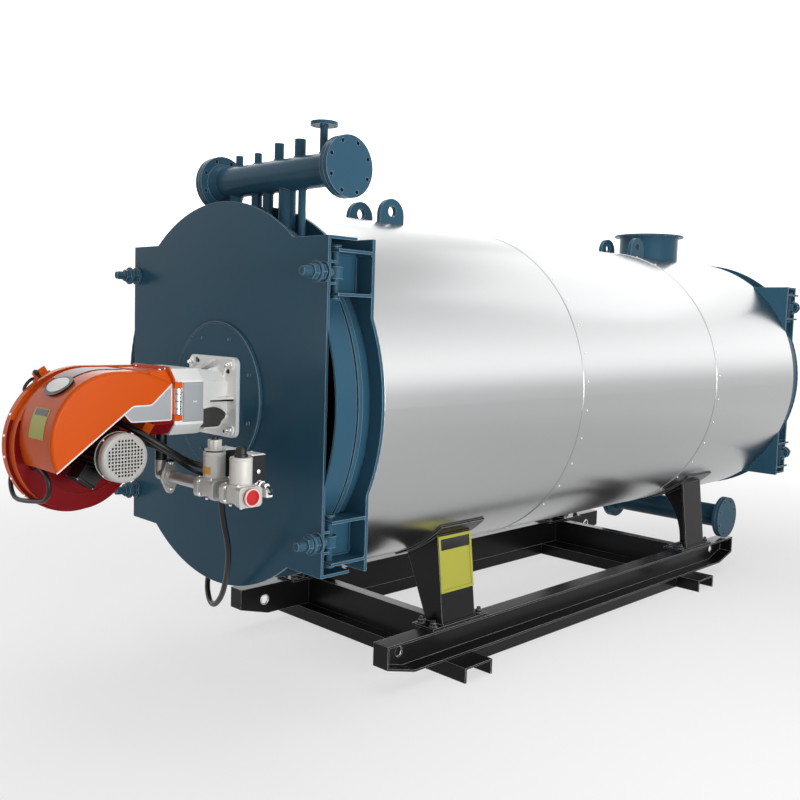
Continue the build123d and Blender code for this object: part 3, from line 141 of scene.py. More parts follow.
class NodeBench:
    """Adds and links nodes in one shader tree."""

    def __init__(self, tree: NodeTree) -> None:
        """Keeps the tree that the nodes go into."""
        self.tree = tree

    def feed(self, node: Node, inputs: Inputs) -> Node:
        """Links a node's inputs to sockets, or sets them to plain values.

        Args:
            node: Node that is fed.
            inputs: Socket or plain value of each input, by its name or place.

        Returns:
            The node.
        """
        for name, value in inputs.items():
            if isinstance(value, NodeSocket):
                self.tree.links.new(value, node.inputs[name])
            else:
                node.inputs[name].default_value = value
        return node

    def add(self, kind: str, inputs: Inputs | None = None, **settings: object) -> Node:
        """Adds a node, sets its properties and feeds its inputs.

        Args:
            kind: Node's type name without its ShaderNode start.
            inputs: Socket or plain value of each input that isn't left as it is.
            settings: Node properties by name.

        Returns:
            The new node.
        """
        node = self.tree.nodes.new("ShaderNode" + kind)
        for name, value in settings.items():
            setattr(node, name, value)
        return self.feed(node, inputs or {})

    def place(self) -> NodeSocket:
        """Gives the place on the piece, which is its place in the boiler's frame."""
        return self.add("TexCoord").outputs["Object"]

    def noise(self, vector: NodeSocket, scale: object, detail: float = 4.0) -> NodeSocket:
        """Adds a noise texture that reads a vector, and gives its value."""
        return self.add("TexNoise", {"Vector": vector, "Scale": scale, "Detail": detail}).outputs[0]

    def math(self, operation: str, first: object, second: object) -> NodeSocket:
        """Does one sum on two values, and gives the result."""
        return self.add("Math", {0: first, 1: second}, operation=operation).outputs[0]

    def mix(self, share: NodeSocket, first: object, second: object) -> NodeSocket:
        """Mixes two colours by a mask, and gives the result."""
        return self.add("Mix", {0: share, 6: first, 7: second}, data_type="RGBA").outputs[2]

    def span(self, value: NodeSocket, low: float, high: float, *to: float) -> NodeSocket:
        """Maps a value from one range to another, held within it, and gives the result."""
        ends = {"From Min": low, "From Max": high, "To Min": to[0], "To Max": to[1]}
        return self.add("MapRange", {"Value": value, **ends}).outputs["Result"]

    def bump(self, height: NodeSocket, strength: float, depth: float, on: NodeSocket) -> NodeSocket:
        """Adds a relief to a normal, and gives the result."""
        relief = {"Height": height, "Strength": strength, "Distance": depth, "Normal": on}
        return self.add("Bump", relief).outputs[0]

    def seen(self) -> NodeSocket:
        """Gives 1 where the camera, metal or glass looks, and 0 for light that falls on a piece."""
        path = self.add("LightPath").outputs
        mirrored = self.math("MAXIMUM", path["Is Camera Ray"], path["Is Glossy Ray"])
        return self.math("MAXIMUM", mirrored, path["Is Transmission Ray"])


def new_group(
    name: str, inputs: dict[str, str], outputs: dict[str, str]
) -> tuple[NodeBench, Node, Node]:
    """Starts a shader node group with named sockets.

    Args:
        name: Group's name.
        inputs: Kind (Float, Vector or Color) of each input by its name.
        outputs: Kind of each output by its name.

    Returns:
        The bench to build on and the group's input and output nodes.
    """
    tree = bpy.data.node_groups.new(name, "ShaderNodeTree")
    for way, sockets in (("INPUT", inputs), ("OUTPUT", outputs)):
        for label, kind in sockets.items():
            tree.interface.new_socket(label, in_out=way, socket_type="NodeSocket" + kind)
    return NodeBench(tree), tree.nodes.new("NodeGroupInput"), tree.nodes.new("NodeGroupOutput")


class Effects:
    """Shader node groups that the finishes share."""

    def __init__(self) -> None:
        """Builds the groups."""
        self.tone = self.build_tone()
        self.dust = self.build_dust()
        self.edges = self.build_edges()
        self.grain = self.build_grain()

    def build_tone(self) -> NodeTree:
        """Builds the slow change of colour and gloss over a painted or plated surface."""
        bench, entry, leave = new_group(
            "surface tone",
            {"Colour": "Color", "Scale": "Float", "Mottle": "Float", "Roughness": "Float",
             "Spread": "Float"},
            {"Colour": "Color", "Roughness": "Float"},
        )
        given = entry.outputs
        swing = bench.math("SUBTRACT", bench.noise(bench.place(), given["Scale"]), 0.5)
        value = bench.math("ADD", bench.math("MULTIPLY", swing, given["Mottle"]), 1.0)
        shade = bench.add("HueSaturation", {"Color": given["Colour"], "Value": value})
        spread = bench.math("MULTIPLY", swing, given["Spread"])
        rough = bench.math("ADD", spread, given["Roughness"])
        bench.feed(leave, {"Colour": shade.outputs[0], "Roughness": rough})
        return bench.tree

    def build_dust(self) -> NodeTree:
        """Builds the thin veil of dust on faces that look up."""
        bench, entry, leave = new_group(
            "dust veil", {"Colour": "Color", "Dust": "Color", "Amount": "Float"}, {"Colour": "Color"}
        )
        normal = bench.add("SeparateXYZ", {0: bench.add("NewGeometry").outputs["Normal"]})
        upward = bench.span(normal.outputs["Z"], 0.2, 1.0, 0.0, 1.0)
        patch = bench.span(bench.noise(bench.place(), 9.0, 6.0), 0.35, 0.7, 0.2, 1.0)
        veil = bench.math("MULTIPLY", upward, patch)
        mask = bench.math("MULTIPLY", veil, entry.outputs["Amount"])
        dusty = bench.mix(mask, entry.outputs["Colour"], entry.outputs["Dust"])
        bench.feed(leave, {"Colour": dusty})
        return bench.tree

    def build_edges(self) -> NodeTree:
        """Builds rounded corners and the mask along them, where paint is worn and where a pale edge
        highlight is painted.
        """
        bench, entry, leave = new_group(
            "edge wear and highlight", {"Radius": "Float", "Reach": "Float"}, {"Mask": "Float", "Normal": "Vector"}
        )
        rounded = bench.add("Bevel", {"Radius": entry.outputs["Radius"]}, samples=8).outputs[0]
        normal = bench.add("NewGeometry").outputs["Normal"]
        dot = bench.add("VectorMath", {0: rounded, 1: normal}, operation="DOT_PRODUCT")
        bend = bench.span(dot.outputs["Value"], 1.0, 0.8, 0.0, 1.0)
        mask = bench.math("MULTIPLY", bend, entry.outputs["Reach"])
        bench.feed(leave, {"Mask": mask, "Normal": rounded})
        return bench.tree

    def build_grain(self) -> NodeTree:
        """Builds a fine grain, stretched for brushed metal or even for castings and orange peel."""
        bench, entry, leave = new_group(
            "grain", {"Stretch": "Vector", "Scale": "Float"}, {"Height": "Float"}
        )
        along = {0: bench.place(), 1: entry.outputs["Stretch"]}
        stretched = bench.add("VectorMath", along, operation="MULTIPLY").outputs[0]
        bench.feed(leave, {"Height": bench.noise(stretched, entry.outputs["Scale"], 3.0)})
        return bench.tree


@cache
def shared_effects() -> Effects:
    """Builds the shared node groups, once."""
    return Effects()


def new_material(name: str) -> tuple[Material, NodeBench, Node]:
    """Starts a node material.

    Args:
        name: Material's name.

    Returns:
        The material, the bench of its tree and its Principled node.
    """
    material = bpy.data.materials.new(name)
    material.use_nodes = True
    return material, NodeBench(material.node_tree), material.node_tree.nodes["Principled BSDF"]


@dataclass(frozen=True)
class Patch:
    """Block of space in which a finish has a second colour."""

    colour: Colour
    low: Spot = (-FAR, -FAR, -FAR)
    high: Spot = (FAR, FAR, FAR)
    only_right_faces: bool = False

    def mask(self, bench: NodeBench) -> NodeSocket:
        """Builds the mask of the patch.

        Args:
            bench: Bench of the material's tree.

        Returns:
            The socket that is 1 on the patch and 0 elsewhere.
        """
        where = bench.add("SeparateXYZ", {0: bench.place()}).outputs
        mask = 1.0
        for socket, low, high in zip(where, self.low, self.high):
            mask = bench.math("MULTIPLY", mask, bench.math("GREATER_THAN", socket, low))
            mask = bench.math("MULTIPLY", mask, bench.math("LESS_THAN", socket, high))
        if self.only_right_faces:
            normal = bench.add("SeparateXYZ", {0: bench.add("NewGeometry").outputs["Normal"]})
            looks_right = bench.math("GREATER_THAN", normal.outputs["X"], 0.7)
            mask = bench.math("MULTIPLY", mask, looks_right)
        return mask


@dataclass(frozen=True)
class Finish:
    """One surface finish, with the numbers that its material is built from."""

    name: str
    slot: str
    colour: Colour
    roughness: float
    metallic: float = 0.0
    specular: float = 0.5
    anisotropy: float = 0.0
    mottle: float = 0.12
    mottle_scale: float = 3.0
    spread: float = 0.08
    dust: float = 0.0
    dust_colour: Colour = (0.42, 0.40, 0.37)
    edge_radius: float = 0.0015
    # The edge colour marks worn paint and, where it is pale, a painted edge highlight.
    edge_colour: Colour = (0.5, 0.5, 0.5)
    edge_wear_and_highlight: float = 0.0
    grain_scale: float = 400.0
    grain_stretch: Spot = (1.0, 1.0, 1.0)
    grain_depth: float = 0.0
    grain_strength: float = 0.15
    wave_scale: float = 1.1
    wave_depth: float = 0.0
    wave_strength: float = 0.25
    patch: Patch | None = None

    def toned(self, bench: NodeBench, colour: Colour) -> Node:
        """Adds the node group that gives one of the finish's colours its tone."""
        values = {
            "Colour": (*colour, 1.0), "Scale": self.mottle_scale, "Mottle": self.mottle,
            "Roughness": self.roughness, "Spread": self.spread,
        }
        return bench.add("Group", values, node_tree=shared_effects().tone)

    def relief(self, bench: NodeBench, normal: NodeSocket) -> NodeSocket:
        """Adds the finish's grain and its long soft waves to a normal.

        Args:
            bench: Bench of the material's tree.
            normal: Normal with the edges rounded.

        Returns:
            The socket of the final normal.
        """
        if self.grain_depth:
            values = {"Stretch": self.grain_stretch, "Scale": self.grain_scale}
            grain = bench.add("Group", values, node_tree=shared_effects().grain).outputs["Height"]
            normal = bench.bump(grain, self.grain_strength, self.grain_depth, normal)
        if self.wave_depth:
            waves = bench.noise(bench.place(), self.wave_scale, 1.0)
            normal = bench.bump(waves, self.wave_strength, self.wave_depth, normal)
        return normal

    @cache
    def material(self) -> Material:
        """Builds the finish's material, once.

        Returns:
            The material.
        """
        material, bench, surface = new_material(self.name)
        tone = self.toned(bench, self.colour).outputs
        colour = tone["Colour"]
        if self.patch:
            second = self.toned(bench, self.patch.colour).outputs["Colour"]
            colour = bench.mix(self.patch.mask(bench), colour, second)
        if self.dust:
            values = {"Colour": colour, "Dust": (*self.dust_colour, 1.0), "Amount": self.dust}
            colour = bench.add("Group", values, node_tree=shared_effects().dust).outputs["Colour"]
        values = {"Radius": self.edge_radius, "Reach": self.edge_wear_and_highlight}
        edges = bench.add("Group", values, node_tree=shared_effects().edges).outputs
        # Pale edges: worn paint, and partly a painted edge highlight.
        if self.edge_wear_and_highlight:
            colour = bench.mix(edges["Mask"], colour, (*self.edge_colour, 1.0))
        bench.feed(surface, {
            "Base Color": colour, "Roughness": tone["Roughness"], "Metallic": self.metallic,
            "Specular IOR Level": self.specular, "Anisotropic": self.anisotropy,
            "Normal": self.relief(bench, edges["Normal"]),
        })
        return material


def activate(piece: Object) -> None:
    """Makes a piece the active one and the only one selected.

    Args:
        piece: Piece to work on.
    """
    bpy.ops.object.select_all(action="DESELECT")
    piece.select_set(True)
    bpy.context.view_layer.objects.active = piece


def named(name: str) -> Object:
    """Names the active piece, which was just made, and its data.

    Args:
        name: Its name.

    Returns:
        The piece.
    """
    piece = bpy.context.active_object
    piece.name = piece.data.name = name
    return piece


def settle(piece: Object) -> Object:
    """Moves a piece's place, turn and scale into its mesh.

    Args:
        piece: Piece to settle.

    Returns:
        The piece.
    """
    activate(piece)
    bpy.ops.object.transform_apply(location=True, rotation=True, scale=True)
    return piece


def put(piece: Object, where: Matrix) -> Object:
    """Moves a piece's mesh by a matrix, and gives the piece."""
    piece.data.transform(where)
    return piece


@contextmanager
def editing(
    piece: Object,
    faces: Callable[[MeshPolygon], bool] | None = None,
    edges: Callable[[Vector, Vector], bool] | None = None,
) -> Iterator[None]:
    """Keeps a piece in edit mode with only the faces, or the edges, that pass a test selected.

    Args:
        piece: Piece to edit.
        faces: Tells whether a face is selected.
        edges: Tells from an edge's two ends whether it is selected.
    """
    activate(piece)
    bpy.ops.object.mode_set(mode="EDIT")
    bpy.ops.mesh.select_mode(type="EDGE" if edges else "FACE")
    bpy.ops.mesh.select_all(action="DESELECT")
    bpy.ops.object.mode_set(mode="OBJECT")
    points = piece.data.vertices
    if edges:
        for edge in piece.data.edges:
            edge.select = edges(*(points[end].co for end in edge.vertices))
    else:
        for face in piece.data.polygons:
            face.select = faces(face)
    bpy.ops.object.mode_set(mode="EDIT")
    yield
    bpy.ops.object.mode_set(mode="OBJECT")


def looks_up(face: MeshPolygon) -> bool:
    """Tells whether a face looks up."""
    return face.normal.z > 0.9


def turn_out(piece: Object) -> Object:
    """Turns a closed piece's faces outwards, and gives the piece."""
    with editing(piece, faces=lambda face: True):
        bpy.ops.mesh.normals_make_consistent(inside=False)
    return piece


def sink_top(piece: Object, margin: float, depth: float) -> Object:
    """Sinks the top of a piece inside a margin, and gives the piece."""
    with editing(piece, looks_up):
        bpy.ops.mesh.inset(thickness=margin, depth=-depth)
    return piece


def join(name: str, parts: Iterable[Object]) -> Object:
    """Joins parts into one piece.

    Args:
        name: The piece's name.
        parts: Parts that become one mesh.

    Returns:
        The joined piece.
    """
    kept = list(parts)
    bpy.ops.object.select_all(action="DESELECT")
    for part in kept:
        part.select_set(True)
    bpy.context.view_layer.objects.active = kept[0]
    if len(kept) > 1:
        bpy.ops.object.join()
    return named(name)


def paint(finish: Finish, *names: str) -> None:
    """Sets the material of solids that stay as they are.

    Args:
        finish: Their finish.
        names: Their names.
    """
    for name in names:
        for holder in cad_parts[name].material_slots:
            holder.material = finish.material()
        log.info("%s painted, %s", name, finish.name)


def dress(piece: Object, finish: Finish, smooth: float = FLAT_SMOOTH) -> Object:
    """Sets a new piece's shading, material and body.

    Args:
        piece: Piece to finish.
        finish: Its finish.
        smooth: Angle in degrees up to which edges are shaded smooth.

    Returns:
        The piece.
    """
    if piece.type == "MESH":
        activate(piece)
        bpy.ops.object.shade_smooth_by_angle(angle=radians(smooth))
    piece.data.materials.clear()
    piece.data.materials.append(finish.material())
    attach(piece, "root")
    log.info("%s made, %s", piece.name, finish.name)
    return piece


def spread(
    name: str, master: Object, places: Iterable[Matrix], finish: Finish, smooth: float = FLAT_SMOOTH
) -> Object:
    """Copies a part to each place, each copy with its own mesh, and finishes them as one piece.

    Args:
        name: Name of the joined piece.
        master: Part made at the origin, which is used up.
        places: Matrix of each copy.
        finish: Finish of the copies.
        smooth: Angle in degrees up to which edges are shaded smooth.

    Returns:
        The joined piece, with its place in its mesh.
    """
    copies = []
    for where in places:
        copy = master.copy()
        copy.data = master.data.copy()
        bpy.context.scene.collection.objects.link(copy)
        copies.append(put(copy, where))
    bpy.data.objects.remove(master)
    return dress(join(name, copies), finish, smooth)


def disc(name: str, radius: float, height: float, soften: float, sides: int = 32) -> Object:
    """Makes a disc that stands on the origin, with a softened rim at its top.

    Args:
        name: Piece's name.
        radius: Disc's radius.
        height: Disc's thickness.
        soften: Width of the rim's bevel.
        sides: Sides of the disc.

    Returns:
        The disc.
    """
    bpy.ops.mesh.primitive_cylinder_add(
        vertices=sides, radius=radius, depth=height, location=(0, 0, height / 2)
    )
    piece = settle(named(name))
    level = height * 0.99
    with editing(piece, edges=lambda first, second: first.z > level and second.z > level):
        bpy.ops.mesh.bevel(offset=soften, segments=2, affect="EDGES")
    return piece


def ring(
    name: str, radius: float, wire: float, steps: int = 48, sides: int = 8, stretch: float = 1.0
) -> Object:
    """Makes a round ring about the origin.

    Args:
        name: Piece's name.
        radius: Radius of the wire's middle.
        wire: Wire's own radius.
        steps: Steps round the ring.
        sides: Sides of the wire.
        stretch: Wire's height as a share of its width.

    Returns:
        The ring.
    """
    bpy.ops.mesh.primitive_torus_add(
        major_segments=steps, minor_segments=sides, major_radius=radius, minor_radius=wire
    )
    piece = named(name)
    piece.scale.z = stretch
    return settle(piece)


def hexagon(name: str, flats: float, height: float, lift: float = 0.0) -> Object:
    """Makes a hexagon nut or bolt head with its top corners turned off.

    Args:
        name: Piece's name.
        flats: Width across flats.
        height: Head's height.
        lift: Height of its seat over the origin.

    Returns:
        The head.
    """
    radius = flats / sqrt(3)
    bpy.ops.mesh.primitive_cylinder_add(
        vertices=6, radius=radius, depth=height, location=(0, 0, lift + height / 2)
    )
    head = settle(named(name))
    with editing(head, looks_up):
        bpy.ops.mesh.inset(thickness=radius * 0.13)
        bpy.ops.transform.translate(value=(0, 0, height * 0.09))
    return head


def bolt(name: str, shank: float, head: float, washer: float, tip: float = 0.0) -> Object:
    """Makes a bolt head on its washer, with the thread's end above it where it is a stud.

    Args:
        name: Piece's name.
        shank: Shank's diameter.
        head: Head's width across flats.
        washer: Washer's diameter.
        tip: Height that the thread stands above the nut, or 0 for a bolt head.

    Returns:
        The bolt, standing on the origin.
    """
    plate = shank * 0.16
    rise = shank * 0.7
    parts = [disc(name, washer / 2, plate, plate * 0.3, 24), hexagon(name, head, rise, plate)]
    if tip:
        parts.append(disc(name, shank / 2, plate + rise + tip, shank * 0.1, 16))
    return join(name, parts)


def screw(name: str, diameter: float, rise: float) -> Object:
    """Makes a domed screw head with a recess.

    Args:
        name: Piece's name.
        diameter: Head's diameter.
        rise: Head's height.

    Returns:
        The head, standing on the origin.
    """
    bpy.ops.mesh.primitive_uv_sphere_add(segments=12, ring_count=6, radius=diameter / 2)
    head = named(name)
    head.scale.z = rise * 2 / diameter
    settle(head)
    with editing(head, lambda face: face.center.z < 0):
        bpy.ops.mesh.delete(type="FACE")
    with editing(head, edges=lambda first, second: max(abs(first.z), abs(second.z)) < 1e-6):
        bpy.ops.mesh.fill()
    with editing(head, lambda face: face.center.z > rise * 0.85):
        bpy.ops.mesh.inset(thickness=diameter * 0.03, depth=-rise * 0.3)
    return head


def block(name: str, size: Sequence[float], soften: float, seat: float = 0.0) -> Object:
    """Makes a plate that lies over the origin, with all its edges softened.

    Args:
        name: Piece's name.
        size: Its length, width and thickness.
        soften: Width of the edges' bevel.
        seat: Height of its underside.

    Returns:
        The plate.
    """
    bpy.ops.mesh.primitive_cube_add(size=1, location=(0, 0, seat + size[2] / 2))
    piece = named(name)
    piece.scale = size
    with editing(settle(piece), edges=lambda first, second: True):
        bpy.ops.mesh.bevel(offset=soften, segments=2, affect="EDGES")
    return piece


def outline_plate(name: str, outline: Outline, thickness: float, soften: float) -> Object:
    """Makes a plate of any outline that lies on the origin, with its upper rim softened.

    Args:
        name: Piece's name.
        outline: Corners in X and Y, turning left.
        thickness: Plate's thickness.
        soften: Width of the rim's bevel.

    Returns:
        The plate.
    """
    count = len(outline)
    bpy.ops.mesh.primitive_cylinder_add(
        vertices=count, radius=1.0, depth=thickness, location=(0, 0, thickness / 2)
    )
    plate = settle(named(name))
    for point in plate.data.vertices:
        corner = atan2(point.co.x, point.co.y) / (2 * pi) * count
        point.co.x, point.co.y = outline[-round(corner) % count]
    plate.data.update()
    level = thickness * 0.99
    with editing(plate, edges=lambda first, second: first.z > level and second.z > level):
        bpy.ops.mesh.bevel(offset=soften, segments=2, affect="EDGES")
    return turn_out(plate)


def ring_weld(
    name: str, radius: float, bead: float, where: Matrix,
    drape: Callable[[Vector], float] = lambda spot: 0.0,
) -> Object:
    """Lays a weld bead round a pipe or bar, with the uneven height of a hand-laid weld.

    Args:
        name: Piece's name.
        radius: Radius of the bead's middle.
        bead: Bead's own radius.
        where: Place of the bead's centre.
        drape: Gives the height that the bead is moved to at a point, where its seat is curved.

    Returns:
        The bead.
    """
    sides = 6
    steps = max(24, min(240, int(radius * 2 * pi / (bead * 2.2))))
    piece = ring(name, radius, bead, steps, sides)
    for index, point in enumerate(piece.data.vertices):
        step = index // sides
        middle = Vector((point.co.x, point.co.y, 0)).normalized() * radius
        swell = 1.0 + 0.22 * (step % 2) - 0.08 * (step % 5 == 0)
        point.co = middle + (point.co - middle) * swell
        point.co.z += drape(middle)
    piece.data.update()
    return put(piece, where)


def line_weld(name: str, length: float, bead: float) -> Object:
    """Lays a straight weld bead along X from the origin, of overlapping ripples.

    Args:
        name: Piece's name.
        length: Bead's length.
        bead: Bead's own radius.

    Returns:
        The bead.
    """
    steps = max(4, int(length / (bead * 1.8)))
    bpy.ops.mesh.primitive_cylinder_add(
        vertices=8, radius=bead, depth=length, location=(length / 2, 0, 0), rotation=(0, pi / 2, 0)
    )
    piece = settle(named(name))
    with editing(piece, edges=lambda first, second: abs(first.x - second.x) > length / 2):
        bpy.ops.mesh.subdivide(number_cuts=steps)
    for point in piece.data.vertices:
        swell = 1.0 + 0.25 * (round(point.co.x / length * (steps + 1)) % 2)
        point.co.y *= swell
        point.co.z *= swell
    piece.data.update()
    return piece


def tube(name: str, route: Sequence[Sequence[float]], diameter: float) -> Object:
    """Makes a smooth round tube along a route's NURBS spline.

    Args:
        name: Piece's name.
        route: Control points.
        diameter: Tube's diameter.

    Returns:
        The curve object.
    """
    curve = bpy.data.curves.new(name, "CURVE")
    curve.dimensions = "3D"
    curve.resolution_u = 10
    curve.bevel_depth = diameter / 2
    curve.bevel_resolution = 4
    curve.use_fill_caps = True
    spline = curve.splines.new("NURBS")
    spline.points.add(len(route) - 1)
    for point, spot in zip(spline.points, route):
        point.co = (*spot, 1.0)
    spline.order_u = 3
    spline.use_endpoint_u = True
    piece = bpy.data.objects.new(name, curve)
    bpy.context.scene.collection.objects.link(piece)
    return piece


# The pale edge colours below stand for worn paint and partly for painted edge highlights.
BOILER_BLUE = Finish(
    "boiler blue paint", "gloss_blue", (0.030, 0.092, 0.145), 0.24, specular=0.08, mottle=0.14,
    mottle_scale=2.2, dust=0.015, edge_radius=0.0035, edge_wear_and_highlight=0.85, edge_colour=(0.46, 0.58, 0.66),
    grain_scale=260.0, grain_depth=0.0004, grain_strength=0.12,
)
THREAD_BLUE = Finish(
    "thread blue paint", "gloss_blue", (0.045, 0.115, 0.170), 0.30, specular=0.20, mottle=0.2,
    mottle_scale=8.0,
)
SKID_BLACK = Finish(
    "skid black paint", "satin_black", (0.008, 0.008, 0.009), 0.26, specular=0.16, mottle=0.3,
    mottle_scale=5.0, dust=0.01, edge_radius=0.0035, edge_wear_and_highlight=0.9, edge_colour=(0.55, 0.55, 0.55),
    grain_scale=300.0, grain_depth=0.0004,
)
CLADDING_STEEL = Finish(
    "cladding sheet steel", "stainless", (0.42, 0.424, 0.428), 0.24, metallic=1.0, anisotropy=0.35,
    mottle=0.04, mottle_scale=1.2, spread=0.05, edge_radius=0.003, grain_scale=90.0,
    grain_stretch=(1.0, 14.0, 1.0), grain_depth=0.0002, grain_strength=0.05, wave_depth=0.0012,
)
BURNER_ORANGE = Finish(
    "burner orange paint", "burner_orange", (0.66, 0.092, 0.007), 0.24, specular=0.07, mottle=0.06,
    edge_radius=0.002, edge_wear_and_highlight=0.4, edge_colour=(0.95, 0.42, 0.22),
    grain_scale=500.0, grain_depth=0.0002, grain_strength=0.1,
)
SCROLL_PAINT_AND_SHADE = Finish(
    "scroll orange paint and painted shade", "burner_orange", (0.72, 0.105, 0.009), 0.26, specular=0.07,
    mottle=0.08, edge_wear_and_highlight=0.3, edge_colour=(0.9, 0.4, 0.25), grain_scale=500.0,
    grain_depth=0.0002, grain_strength=0.1,
    # Faces that look right, below this height, turn dark red: painted shade under the motor and hood.
    patch=Patch((0.20, 0.005, 0.008), (-0.1505, -FAR, 0.0), (FAR, FAR, AXIS_Z - 0.08), True),
)
CAST_ALUMINIUM = Finish(
    "cast aluminium", "cast_aluminium", (0.90, 0.90, 0.88), 0.36, metallic=0.06, mottle=0.10,
    mottle_scale=12.0, edge_wear_and_highlight=0.9, edge_colour=(0.95, 0.95, 0.93), grain_scale=700.0,
    grain_depth=0.0006, grain_strength=0.35,
)
VALVE_METAL = Finish(
    "valve body metal", "cast_aluminium", (0.46, 0.46, 0.44), 0.30, metallic=0.35, mottle=0.15,
    mottle_scale=14.0, edge_wear_and_highlight=0.9, edge_colour=(0.90, 0.90, 0.88), grain_scale=700.0,
    grain_depth=0.0004, grain_strength=0.3,
)
PIPE_METAL = Finish(
    "pipe metal dark at the top", "cast_aluminium", (0.46, 0.45, 0.43), 0.30, metallic=0.5,
    mottle=0.15, mottle_scale=12.0, edge_wear_and_highlight=0.8, edge_colour=(0.95, 0.95, 0.93),
    # The pipe turns dark above this height.
    patch=Patch((0.012, 0.012, 0.013), (-FAR, -FAR, AXIS_Z - 0.262)),
)
# Painted shade for the inside of the neck's opening.
SHADOW_METAL = Finish(
    "painted shade of the casting's recess", "cast_aluminium", (0.055, 0.052, 0.048), 0.6, metallic=0.2,
    mottle=0.4, mottle_scale=20.0, grain_scale=600.0, grain_depth=0.0005, grain_strength=0.4,
)
BRIGHT_ZINC = Finish(
    "bright zinc plate", "cast_aluminium", (0.72, 0.72, 0.70), 0.28, metallic=1.0, mottle=0.12,
    mottle_scale=30.0,
)
# The rolled edge is paler than its sheet: a painted highlight.
ROLLED_EDGE_HIGHLIGHT = Finish(
    "rolled sheet edge and painted highlight", "stainless", (0.86, 0.86, 0.86), 0.30, metallic=0.6, mottle=0.03,
)
PANEL_GREY = Finish(
    "panel grey paint", "grey_paint", (0.38, 0.40, 0.42), 0.40, specular=0.3, mottle=0.05,
    edge_wear_and_highlight=0.6, edge_colour=(0.9, 0.9, 0.9), edge_radius=0.002,
)
COVER_WHITE = Finish(
    "motor cover white paint", "cast_aluminium", (0.62, 0.61, 0.57), 0.35, mottle=0.05,
    edge_wear_and_highlight=0.3, edge_colour=(0.95, 0.95, 0.93), edge_radius=0.002,
)
COVER_WITH_GROOVE_SHADE = Finish(
    "cover white and painted groove shade", "cast_aluminium", (0.42, 0.41, 0.39), 0.35, mottle=0.05,
    edge_wear_and_highlight=0.3, edge_colour=(0.95, 0.95, 0.93), edge_radius=0.002,
    # A dark band where the cover's groove runs: painted shade.
    patch=Patch((0.030, 0.029, 0.027), (0.184, -FAR, 0.0), (0.209, FAR, AXIS_Z)),
)
MOTOR_BLACK = Finish(
    "motor black paint", "motor_black", (0.009, 0.009, 0.009), 0.30, specular=0.25, edge_wear_and_highlight=0.4,
    edge_colour=(0.12, 0.12, 0.12),
)
# Black plastic, also used as painted shade in the cast plate's holes.
BLACK_PLASTIC_AND_SHADE = Finish(
    "black plastic and painted shade", "black_plastic", (0.008, 0.008, 0.009), 0.36, specular=0.25, edge_wear_and_highlight=0.4,
    edge_colour=(0.10, 0.10, 0.11),
)
# Black rubber of the conduits, also used as painted shadow under the neck's rib.
BLACK_RUBBER_AND_SHADOW = Finish(
    "black conduit rubber and painted shadow", "black_rubber", (0.006, 0.006, 0.006), 0.38, specular=0.3, mottle=0.3,
    mottle_scale=20.0,
)
SMOKED_PANE = Finish(
    "smoked pane", "black_plastic", (0.075, 0.012, 0.016), 0.30, specular=0.35, mottle=0.15,
    edge_radius=0.001,
)
RED_PLASTIC = Finish(
    "red plastic", "red_plastic", (0.52, 0.012, 0.012), 0.32, specular=0.3, edge_wear_and_highlight=0.4,
    edge_colour=(0.8, 0.25, 0.2),
)
PLUG_LIP = Finish("pale red plug lip", "red_plastic", (0.90, 0.62, 0.58), 0.35, mottle=0.05)
WHITE_LABEL = Finish("bare white plate", "grey_paint", (0.80, 0.80, 0.79), 0.35, mottle=0.02)
YELLOW_PLATE = Finish(
    "bare yellow plate", "grey_paint", (0.41, 0.40, 0.055), 0.38, specular=0.2, mottle=0.04,
)
AMBER_PLATE = Finish("bare amber plate", "grey_paint", (0.62, 0.30, 0.05), 0.40, mottle=0.05)
# Pale trim; on the hood and its panel its colour is a painted edge highlight.
TRIM_AND_HIGHLIGHT_WHITE = Finish("pale edge trim and painted highlight", "grey_paint", (0.86, 0.86, 0.85), 0.40, mottle=0.03)


@dataclass(frozen=True)
class CableRoute:
    """One conduit, with the X, the setback and the height over the axis of each of its points."""

    name: str
    diameter: float
    length: float
    lay: str
    points: tuple[Spot, ...]

    def build(self) -> None:
        """Makes the conduit in the place of its solid."""
        spots = [at(*point) for point in self.points]
        piece = dress(tube(self.name, spots, self.diameter), BLACK_RUBBER_AND_SHADOW)
        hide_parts(self.name.replace("cable", "conduit"))


